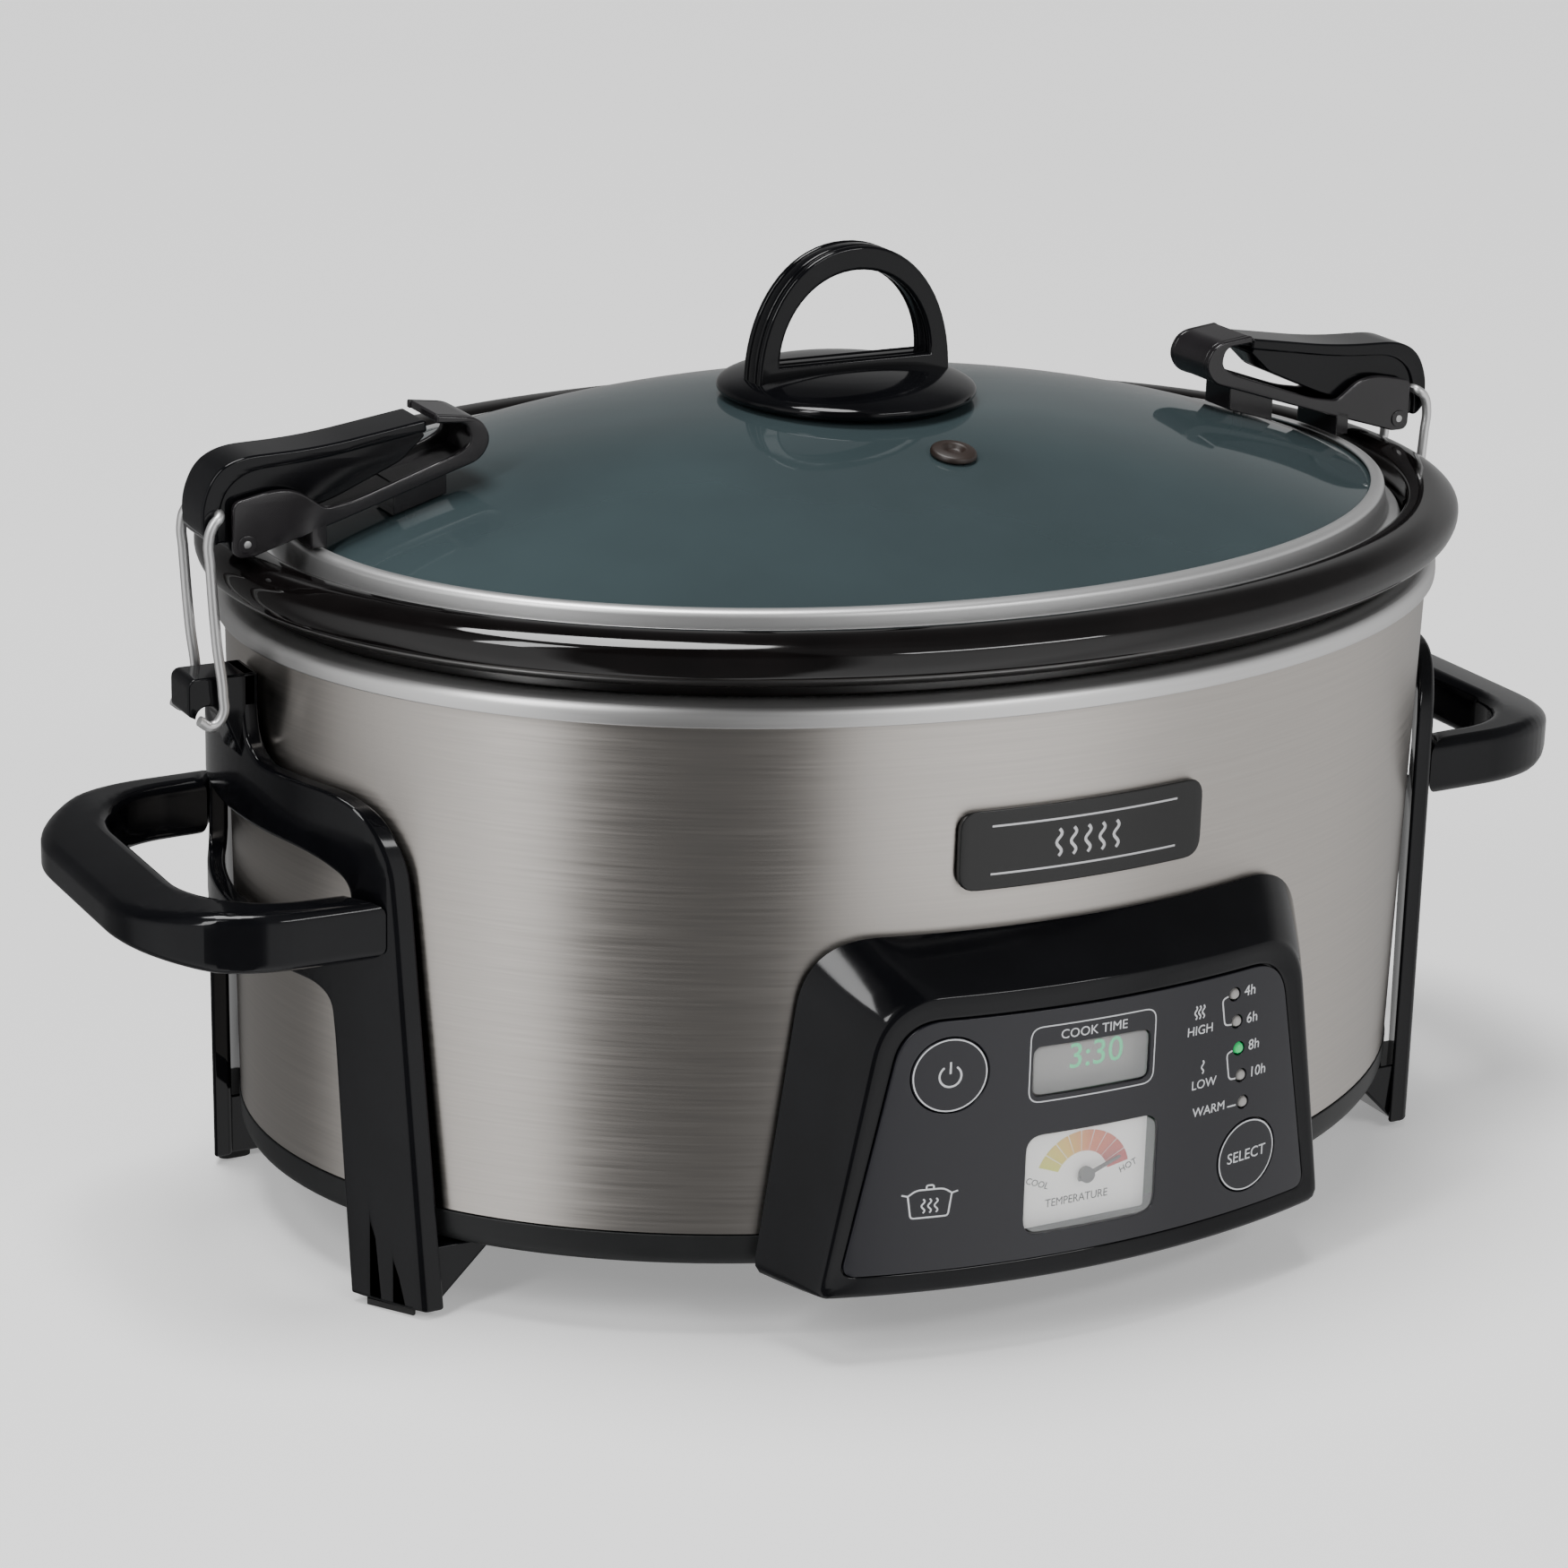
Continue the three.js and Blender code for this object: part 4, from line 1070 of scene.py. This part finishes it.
    def build_print(self) -> None:
        """The words, brackets and outlines printed on the overlay."""
        marks = [
            stroke(round_rect(-4.2, 73.2, 34.6, 19.2, 3.2), 0.32, True),
            lettering("COOK TIME", 2.35, -4.4, 80.1, narrow=1.02),
            lettering("HIGH", 2.35, 26.9, 74.2), lettering("LOW", 2.35, 29.0, 59.8),
            lettering("WARM", 2.35, 31.1, 52.5),
            stroke([(37.1, 51.8), (39.9, 51.7)], 0.42),
        ]
        for (x, z), words in zip(self.lamp_places().values(), ("4h", "6h", "8h", "10h")):
            marks.append(lettering(words, 2.7, x + (5.6 if len(words) > 2 else 5.0), z))
        for top, foot, waves in ((0, 1, 3), (2, 3, 1)):
            x, z = list(self.lamp_places().values())[top]
            x1, z1 = list(self.lamp_places().values())[foot]
            back = 4.0
            bracket = [
                (x - 2.2, z - 0.1, 0), (x - back, z - 0.6, 1.2), (x1 - back, z1 - 0.2, 1.2),
                (x1 - 1.8, z1 - 0.4, 0),
            ]
            marks.append(stroke(rounded(bracket, 5, closed=False), 0.42))
            for k in range(waves):
                centre = (26.4 if waves == 3 else 28.3, z - 2.3)
                marks.append(
                    stroke(steam(centre[0] + (k - (waves - 1) / 2) * 1.15, centre[1], 3.4, 0.35), 0.42)
                )
        marks += self.pot_sign(-45.6, 40.8)
        sheet = absorb(bmesh.new(), *marks)
        lay_on(SHELL_OVAL.wrap_front(sheet, self.face + 0.03, 1.5), "panel_print", INK, "control_panel")

    @staticmethod
    def pot_sign(x: float, z: float) -> list[BMesh]:
        """A small lidded pot with steam lines in it."""
        bowl = [
            (x - 6.9, z + 2.6, 0), (x - 5.4, z + 2.2, 0.4), (x - 4.6, z - 3.6, 0.8),
            (x + 4.6, z - 3.6, 0.8), (x + 5.4, z + 2.2, 0.4), (x + 6.9, z + 2.6, 0),
        ]
        lid = [(x - 5.4, z + 2.2, 0), (x - 3.4, z + 3.6, 1.2), (x + 3.4, z + 3.6, 1.2), (x + 5.4, z + 2.2, 0)]
        knob = [
            (x - 0.9, z + 3.6, 0), (x - 0.9, z + 4.7, 0.6), (x + 0.9, z + 4.7, 0.6), (x + 0.9, z + 3.6, 0),
        ]
        lines = [stroke(rounded(run, 5, closed=False), 0.42) for run in (bowl, lid, knob)]
        return lines + [stroke(steam(x + 1.6 * k, z - 0.6, 3.6, 0.4), 0.4) for k in (-1, 0, 1)]

    def build_gauge(self) -> None:
        """The gauge's printed arc and words, and the digits behind the display window."""
        card = bench("gauge_face")[0].y
        low = bench("gauge_needle")[0]
        x, z = low.x + NEEDLE_BOSS, low.z + NEEDLE_BOSS
        blocks = []
        for k in range(9):
            start, stop = math.radians(157 - 16.2 * k), math.radians(157 - 16.2 * k - 15.0)
            turns = [start + (stop - start) * j / 6 for j in range(7)]
            ring = [(x + 13.4 * math.cos(t), z - 1.4 + 12.6 * math.sin(t)) for t in turns]
            ring += [(x + 7.4 * math.cos(t), z - 1.4 + 7.2 * math.sin(t)) for t in reversed(turns)]
            blocks.append(plate(ring, 0.08))
        arc = along_y(absorb(bmesh.new(), *blocks), card - 0.05)
        lay_on(arc, "gauge_scale", SCALE, "gauge_face")
        words = [
            lettering("COOL", 1.7, x - 12.6, z - 0.6, -22), lettering("HOT", 1.7, x + 13.2, z - 0.4, 22),
            lettering("TEMPERATURE", 2.1, x - 1.2, z - 6.4, narrow=0.9),
        ]
        lay_on(along_y(absorb(bmesh.new(), *words), card - 0.05), "gauge_words", CARD_INK, "gauge_face")
        glass = bench("display_module")[0].y
        digits = lettering("3:30", 6.4, -0.6, 71.6, narrow=1.0)
        lay_on(along_y(digits, glass - 0.05), "display_digits", DIGIT, "display_module")


# ---------------------------------------------------------------- crock and lid


@dataclass
class Crock:
    """The black glazed stoneware crock."""

    lip: float = 7.4
    under: float = 166.1

    def build(self) -> None:
        """Builds and dresses the crock."""
        low, high = bench("stoneware_crock")
        axis, seat_z = SHELL_OVAL.axis, bench("heating_well")[1].z + 0.3
        profile = [
            (axis, low.z), (-25, low.z, 6), (-21, low.z + 6, 6), (-12.3, 159, 1), (-12.2, seat_z, 0.6),
            (-4, seat_z, 0.8),
            (-3.2, self.under, 0.8), (1.6, self.under, 1.6), (4.8, 168.4, 2.4), (6.2, 169.8, 0.8),
            (self.lip, 172.6, 2.2), (7.0, 176.0, 2.6),
            (2.4, 178.8, 3), (-2.4, high.z, 2.4), (-6.2, 178.2, 1.6), (-7, 174, 1), (-7, 168.6, 0.6),
            (-14.6, 168.6, 2),
            (-19, 165, 3), (-26.8, 57, 10), (-36, 48.5, 12), (axis, 48.5),
        ]
        seat(SHELL_OVAL.turn(profile, closed=False, softened=6), "glazed_crock", GLAZE, ["stoneware_crock"])


@dataclass
class Lid:
    """The domed glass lid with its rim, gasket, vent, knob and loop."""

    edge: float = -14.4
    low: float = 178.4
    rise: float = 26.2
    thick: float = 4.0
    power: float = 2.2
    top: float = 242.9

    def height(self, share: float) -> float:
        """The glass's top at a share of the way out to its edge."""
        return self.low + self.rise * (1 - share**self.power)

    def build(self) -> None:
        """Builds and dresses the lid."""
        self.build_glass()
        self.build_rim()
        self.build_vent()
        self.build_knob()
        dress("knob_screw", PLATED)
        dress("knob_washer", RUBBER)

    def build_glass(self) -> None:
        """The dome, 4 mm thick, with a ground edge."""
        reach = SHELL_OVAL.half_deep + self.edge
        shares = [k / 24 for k in range(25)]
        top = [(reach * s - SHELL_OVAL.half_deep, self.height(s)) for s in shares]
        under = [(reach * s - SHELL_OVAL.half_deep, self.height(s) - self.thick) for s in reversed(shares)]
        dome = SHELL_OVAL.turn(top + under, closed=False, scaled=True)
        seat(dome, "glass_dome", LID_GLASS, ["lid_glass"])

    def build_rim(self) -> None:
        """The steel band round the glass and the gasket under it."""
        band = [
            (-16.4, 171, 0.3), (-8.4, 171, 0.3), (-8, 171.6, 0.4), (-8.4, 172.2, 0.4), (-11.4, 172.8, 0.8),
            (-12.3, 178.0, 1.2), (-12.6, 179.8, 1.0), (-14.4, 180.6, 0.9), (-16.2, 180.3, 0.3),
            (-16.2, 179.7, 0.3),
            (-14, 179, 0.6), (-13.7, 173.6, 0.6), (-16.4, 173, 0.4),
        ]
        seat(SHELL_OVAL.turn(band), "steel_lid_band", POLISHED, ["lid_rim"])
        low, high = bench("lid_gasket")
        seal = [(-13, low.z, 0.5), (-7.6, low.z, 0.6), (-7.4, high.z, 0.6), (-13, high.z, 0.5)]
        seat(SHELL_OVAL.turn(seal), "lid_seal", RUBBER, ["lid_gasket"])

    def build_vent(self) -> None:
        """The rubber vent, square to the glass."""
        low, high = bench("vent_grommet")
        x, y = (low.x + high.x) / 2, (low.y + high.y) / 2
        button = turned(
            [
                (0, -5.6), (5.2, -5.6, 0.5), (5.2, -4.6, 0.3), (3.2, -4.6), (3.2, 0.4, 0.2),
                (6.0, 0.4, 0.4), (5.7, 1.7, 0.7), (3.0, 2.3, 0.6), (1.8, 0.9, 0.5), (0, 0.8),
            ],
            40,
        )
        reach = math.hypot(x / (SHELL_OVAL.half_long + self.edge), y / (SHELL_OVAL.half_deep + self.edge))
        ahead = math.hypot(
            x / (SHELL_OVAL.half_long + self.edge),
            (y + 1) / (SHELL_OVAL.half_deep + self.edge),
        )
        slope = math.atan(self.height(ahead) - self.height(reach))
        tilt = Matrix.Translation((x, y, self.height(reach))) @ Matrix.Rotation(slope, 4, "X")
        bmesh.ops.transform(button, matrix=tilt, verts=button.verts)
        seat(button, "steam_vent", VENT_RUBBER, ["vent_grommet"])

    def build_knob(self) -> None:
        """The dished knob base and the finger loop with two grooves along it."""
        crown = self.height(0)
        dish = [
            (0, crown + 0.4), (20, crown + 0.2), (32.2, crown - 0.1, 1.2), (33.4, crown + 0.8, 0.6),
            (33.3, crown + 2.2, 0.8), (31, crown + 3.6, 3), (24, crown + 5.6, 6), (13, crown + 6.9, 6),
            (0, crown + 7.2),
        ]
        seat(turned(dish, 96), "knob_dish", GLOSS_BLACK, ["knob_base"])
        bands = []
        for y0, y1, draw in (
            (-4.6, -2.5, 0.0), (-2.7, -1.7, 0.6), (-1.9, 1.9, 0.0), (1.7, 2.7, 0.6), (2.5, 4.6, 0.0),
        ):
            outer = self.arch(27.7 - draw, crown + 3.6, self.top - draw, 20)
            hole = self.arch(21.7 + draw, crown + 9 - draw, self.top - 6.2 + draw, 12)
            edge = 0.9 if draw == 0 else 0.0
            bands.append(along_y(plate(outer, y1 - y0, edge, [hole]), (y0 + y1) / 2))
        loop = absorb(bmesh.new(), *bands)
        for vert in loop.verts:
            reach = math.hypot(vert.co.x, vert.co.y)
            vert.co.z = max(vert.co.z, crown + 7.3 - 2.9 * (reach / 28.1) ** 2.4)
        seat(loop, "knob_finger_loop", GLOSS_BLACK, ["knob_loop"], weighted=True)

    @staticmethod
    def arch(half: float, low: float, high: float, lean: float, steps: int = 18) -> list[Point]:
        """A closed arch outline with a flat foot."""
        start, pull, top = Vector((-half, low)), Vector((-half, low + lean)), Vector((0, high))
        level = Vector((-half * 0.6, high))
        rising = []
        for k in range(steps + 1):
            t = k / steps
            p = start * (1 - t) ** 3 + pull * (
                3 * t * (1 - t) ** 2
            ) + level * (3 * t * t * (1 - t)) + top * t**3
            rising.append((p.x, p.y))
        return rising + [(-x, z) for x, z in reversed(rising[:-1])]


# ---------------------------------------------------------------- clips


@dataclass
class Clip:
    """One lid clip: bracket, over-centre lever, wire bail, pin and screw."""

    side: Side
    pin: Point = (167.3, 184.0)
    link: Point = (173.4, 191.4)
    lever_half: float = 7.0
    plate_in: float = 7.5
    plate_out: float = 9.4
    wire: float = 1.3
    wire_side: float = 9.0

    def build(self) -> None:
        """Builds and dresses the clip."""
        word = self.side.word
        bracket = mirrored(self.bracket(), self.side)
        seat(bracket, f"{word}_clip_bracket", CLIP_GREY, [f"{word}_latch_bracket"], weighted=True)
        lever = mirrored(self.lever(), self.side)
        seat(lever, f"{word}_clip_lever", GLOSS_BLACK, [f"{word}_latch_lever"], weighted=True)
        seat(mirrored(self.bail(), self.side), f"{word}_clip_wire", POLISHED, [f"{word}_latch_bail"])
        rivet = plate(circle(*self.pin, 1.1, 24), 2 * self.plate_out + 0.8, 0.3)
        seat(mirrored(along_y(rivet), self.side), f"{word}_clip_rivet", PLATED, [f"{word}_latch_pin"])
        dress(f"{word}_latch_screw", PLATED)

    def bracket(self) -> BMesh:
        """Two cheeks, a floor between them, the nose hood and the pads on the glass."""
        cheek = [
            (170.7, 194.4, 2.2), (156, 197.4, 7), (147, 190.8, 2), (138.6, 192.2, 3), (113, 200.8, 2),
            (108.6, 203.4, 3),
            (110, 208.4, 2), (118, 209, 0.3), (118, 211, 0.6), (106.4, 209.6, 4), (103.4, 204, 3),
            (106.2, 199, 3),
            (112, 197.2, 2), (143, 187.4, 3), (163.4, 181.4, 1), (165.4, 180.7, 0.8), (170.7, 180.7, 2.6),
        ]
        parts = [bar(cheek, *sorted((s * self.plate_in, s * self.plate_out)), 0.5) for s in (1, -1)]
        floor = [
            (164, 181.6), (164, 183.2), (143, 189.4, 2), (112, 199, 2), (107, 200.4), (107, 199.2),
            (112, 197.4, 2),
            (143, 187.6, 2),
        ]
        hood = [
            (117.6, 211, 0.6), (106.4, 209.6, 3.8), (103.4, 204, 2.6), (106.2, 199, 1.6), (108.2, 199.8),
            (106.9, 204, 1.6),
            (108.6, 207.9, 1.4), (117.6, 209, 0.3),
        ]
        parts.append(bar(floor, -self.plate_in - 0.2, self.plate_in + 0.2, 0.2))
        parts.append(bar(hood, -self.plate_in - 0.2, self.plate_in + 0.2, 0.3))
        rest = Lid().height(114 / 148.6) + 0.5, Lid().height(128 / 148.6) + 0.5
        pad = [(114, rest[0]), (128, rest[1]), (128, 194.4), (114, 198.2)]
        toe = [(146.8, 181.2), (150.8, 181.2), (150.8, 187), (146.8, 188)]
        parts.append(bar(pad, -6, 6, 0.3))
        parts.append(bar(toe, -self.plate_out, self.plate_out, 0.3))
        for hand in (-1, 1):
            boss = plate(circle(*self.pin, 2.3, 32), 0.5, 0.15)
            parts.append(along_y(boss, hand * (self.plate_out + 0.1)))
        return absorb(bmesh.new(), *parts)

    def lever(self) -> BMesh:
        """The curved thumb lever with its pivot barrel."""
        cap = [
            (175.2, 183.9, 1.5), (177.6, 186.4, 2), (177.8, 194, 4), (174.5, 201.5, 6), (168, 204.9, 5),
            (147.6, 205.4, 10),
            (119.8, 209.6, 1), (119.5, 206.6, 0.8), (147.6, 202.2, 8), (166, 201.2, 5), (172, 196.6, 4),
            (173.6, 188, 2),
            (173.4, 183.9, 1),
        ]
        skirt = [
            (175.6, 184.2, 1), (176.4, 190, 2), (174, 200.4, 4), (166, 203.6, 4), (147.6, 204, 6),
            (121, 207.4, 0.6),
            (119.8, 205.5, 0.6), (126, 199.8, 1.5), (143, 192.5, 3), (158, 187.9, 1.5), (163.9, 186.8, 0.5),
            (163.9, 181.6, 2),
            (170.6, 181.6, 2), (170.9, 184, 0.5),
        ]
        inset = self.lever_half - 0.7
        return absorb(bar(cap, -self.lever_half, self.lever_half, 0.7, 8), bar(skirt, -inset, inset, 0.5, 8))

    def bail(self) -> BMesh:
        """The wire: a cross bar through the lever, two legs and a curl at the foot of each."""
        (lx, lz), y = self.link, self.wire_side
        leg = [
            (175.7, 189.4), (176.9, 185.4), (176.6, 180), (175.2, 160), (173.8, 147), (174, 142),
            (176.8, 139.6), (180, 141.4),
        ]
        bend = [(lx, y - 5, lz), (lx, y - 2, lz), (lx + 0.7, y - 0.4, lz - 0.5)]
        half = [Vector(b) for b in bend] + [Vector((x, y, z)) for x, z in leg]
        knots = [Vector((p.x, -p.y, p.z)) for p in reversed(half)] + [Vector((lx, 0, lz))] + half
        curve = bpy.data.curves.new("wire", "CURVE")
        curve.dimensions = "3D"
        curve.bevel_depth = self.wire
        curve.bevel_resolution = 4
        curve.use_fill_caps = True
        curve.resolution_u = 8
        spline = curve.splines.new("BEZIER")
        spline.bezier_points.add(len(knots) - 1)
        for spot, knot in zip(spline.bezier_points, knots):
            spot.co = knot
            spot.handle_left_type = spot.handle_right_type = "AUTO"
        return from_curve(curve)


# ---------------------------------------------------------------- studio


@dataclass
class Studio:
    """Pale floor, soft light and the camera."""

    azimuth: float = -29.14
    elevation: float = 18.51
    roll: float = 1.75
    distance: float = 1185.07
    lens: float = 103.30
    shift: Point = (-0.0338, 0.0020)
    target: tuple[float, float, float] = (0.65, -0.38, 97.61)
    sky: float = 1.1
    scrim: float = 3.0
    scrim_width: float = 28
    scrim_tilt: tuple[float, float, float] = (-8, -6, 0)
    horizon: tuple[Point, ...] = (
        (-180, 0.2), (-125, 0.16), (-112, 0.5), (-98, 0.75), (-86, 0.9), (-56, 0.9), (-50, 0.12),
        (-8, 0.12), (-2, 0.9),
        (20, 1.05), (32, 1.05), (46, 0.72), (84, 0.68), (120, 0.42), (180, 0.2),
    )
    ceiling: tuple[Point, ...] = ((0.0, 1.0), (0.30, 0.9), (0.55, 0.3), (1.0, 0.2))
    strips: tuple[tuple[str, tuple[float, float, float], Point, float], ...] = (
        ("left_strip", (-1.1, -0.5, 1.1), (0.25, 0.9), 9.0),
        ("front_strip", (0.5, -1.5, 1.2), (0.9, 0.2), 7.0),
    )

    def build(self) -> None:
        """Builds the studio."""
        self.build_camera()
        self.build_floor()
        self.build_world()
        self.build_lights()

    def build_camera(self) -> None:
        """The camera in front and to the left, a little above the lid."""
        az, el, roll = (math.radians(v) for v in (self.azimuth, self.elevation, self.roll))
        back = Vector((math.sin(az) * math.cos(el), -math.cos(az) * math.cos(el), math.sin(el)))
        right = Vector((math.cos(az), math.sin(az), 0))
        up = back.cross(right)
        across = right * math.cos(roll) + up * math.sin(roll)
        above = up * math.cos(roll) - right * math.sin(roll)
        data = bpy.data.cameras.new("camera")
        data.sensor_width = 36
        data.lens = self.lens
        data.shift_x, data.shift_y = self.shift
        data.clip_start, data.clip_end = 0.01, 50
        camera = bpy.data.objects.new("camera", data)
        spot = (Vector(self.target) + back * self.distance) * MM + Vector((0, CENTRE_Y, 0))
        turn = Matrix((across, above, back)).transposed().to_4x4()
        camera.matrix_world = Matrix.Translation(spot) @ turn
        bpy.context.scene.collection.objects.link(camera)
        bpy.context.scene.camera = camera

    def build_floor(self) -> None:
        """A wide pale floor."""
        bm = bmesh.new()
        bmesh.ops.create_grid(bm, x_segments=2, y_segments=2, size=9)
        mesh = bpy.data.meshes.new("floor")
        bm.to_mesh(mesh)
        bm.free()
        floor = bpy.data.objects.new("floor", mesh)
        bpy.context.scene.collection.objects.link(floor)
        mesh.materials.append(PAPER.material())
        floor.visible_glossy = False

    def build_world(self) -> None:
        """A bright band round the horizon with a dark gap at the front left, and a dark ceiling."""
        world = bpy.data.worlds.new("studio")
        bpy.context.scene.world = world
        world.use_nodes = True
        tree = world.node_tree

        def math_node(kind: str, first: object, second: object = 0.0) -> bpy.types.NodeSocket:
            """One math step on sockets or plain numbers."""
            node = tree.nodes.new("ShaderNodeMath")
            node.operation = kind
            for socket, value in zip(node.inputs, (first, second)):
                if isinstance(value, float):
                    socket.default_value = value
                else:
                    tree.links.new(value, socket)
            return node.outputs[0]

        def ramp_node(value: bpy.types.NodeSocket, stops: Sequence[Point]) -> bpy.types.NodeSocket:
            """A grey that follows the stops."""
            ramp = tree.nodes.new("ShaderNodeValToRGB")
            elements = ramp.color_ramp.elements
            for k, (position, level) in enumerate(stops):
                last = k == len(stops) - 1
                spot = elements[0] if k == 0 else elements[-1] if last else elements.new(position)
                spot.position = position
                spot.color = (level, level, level, 1)
            tree.links.new(value, ramp.inputs["Fac"])
            return ramp.outputs["Color"]

        coords = tree.nodes.new("ShaderNodeTexCoord")
        split = tree.nodes.new("ShaderNodeSeparateXYZ")
        tree.links.new(coords.outputs["Generated"], split.inputs["Vector"])
        turn = math_node("ARCTAN2", split.outputs["X"], math_node("MULTIPLY", split.outputs["Y"], -1.0))
        share = math_node("ADD", math_node("DIVIDE", turn, 2 * math.pi), 0.5)
        stops = [((degrees + 180) / 360, level) for degrees, level in self.horizon]
        around = ramp_node(share, stops)
        rise = ramp_node(math_node("MAXIMUM", split.outputs["Z"], 0.0), self.ceiling)
        mixed = tree.nodes.new("ShaderNodeVectorMath")
        mixed.operation = "MULTIPLY"
        tree.links.new(around, mixed.inputs[0])
        tree.links.new(rise, mixed.inputs[1])
        sky = tree.nodes["Background"]
        sky.inputs["Strength"].default_value = self.sky
        tree.links.new(mixed.outputs[0], sky.inputs["Color"])

    def build_lights(self) -> None:
        """An overhead sun through a scrim, and strips that draw highlights on the gloss."""
        data = bpy.data.lights.new("scrim", "SUN")
        data.energy = self.scrim
        data.angle = math.radians(self.scrim_width)
        light = bpy.data.objects.new("scrim", data)
        light.rotation_euler = tuple(math.radians(turn) for turn in self.scrim_tilt)
        bpy.context.scene.collection.objects.link(light)
        for name, place, size, power in self.strips:
            data = bpy.data.lights.new(name, "AREA")
            data.shape = "RECTANGLE"
            data.size, data.size_y = size
            data.energy = power
            light = bpy.data.objects.new(name, data)
            light.location = place
            aim = Vector((0, CENTRE_Y, 0.12))
            light.rotation_euler = (Vector(place) - aim).to_track_quat("Z", "Y").to_euler()
            bpy.context.scene.collection.objects.link(light)


def main() -> None:
    """Builds the studio and every piece."""
    logging.basicConfig(level=logging.INFO, format="%(name)s %(message)s")
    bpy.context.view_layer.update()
    Studio().build()
    frames = [EndFrame(side) for side in Side]
    clips = [Clip(side) for side in Side]
    for assembly in (Body(), *frames, Controls(), Crock(), Lid(), *clips):
        LOG.info("building %s", type(assembly).__name__)
        assembly.build()


if __name__ == "__main__":
    main()
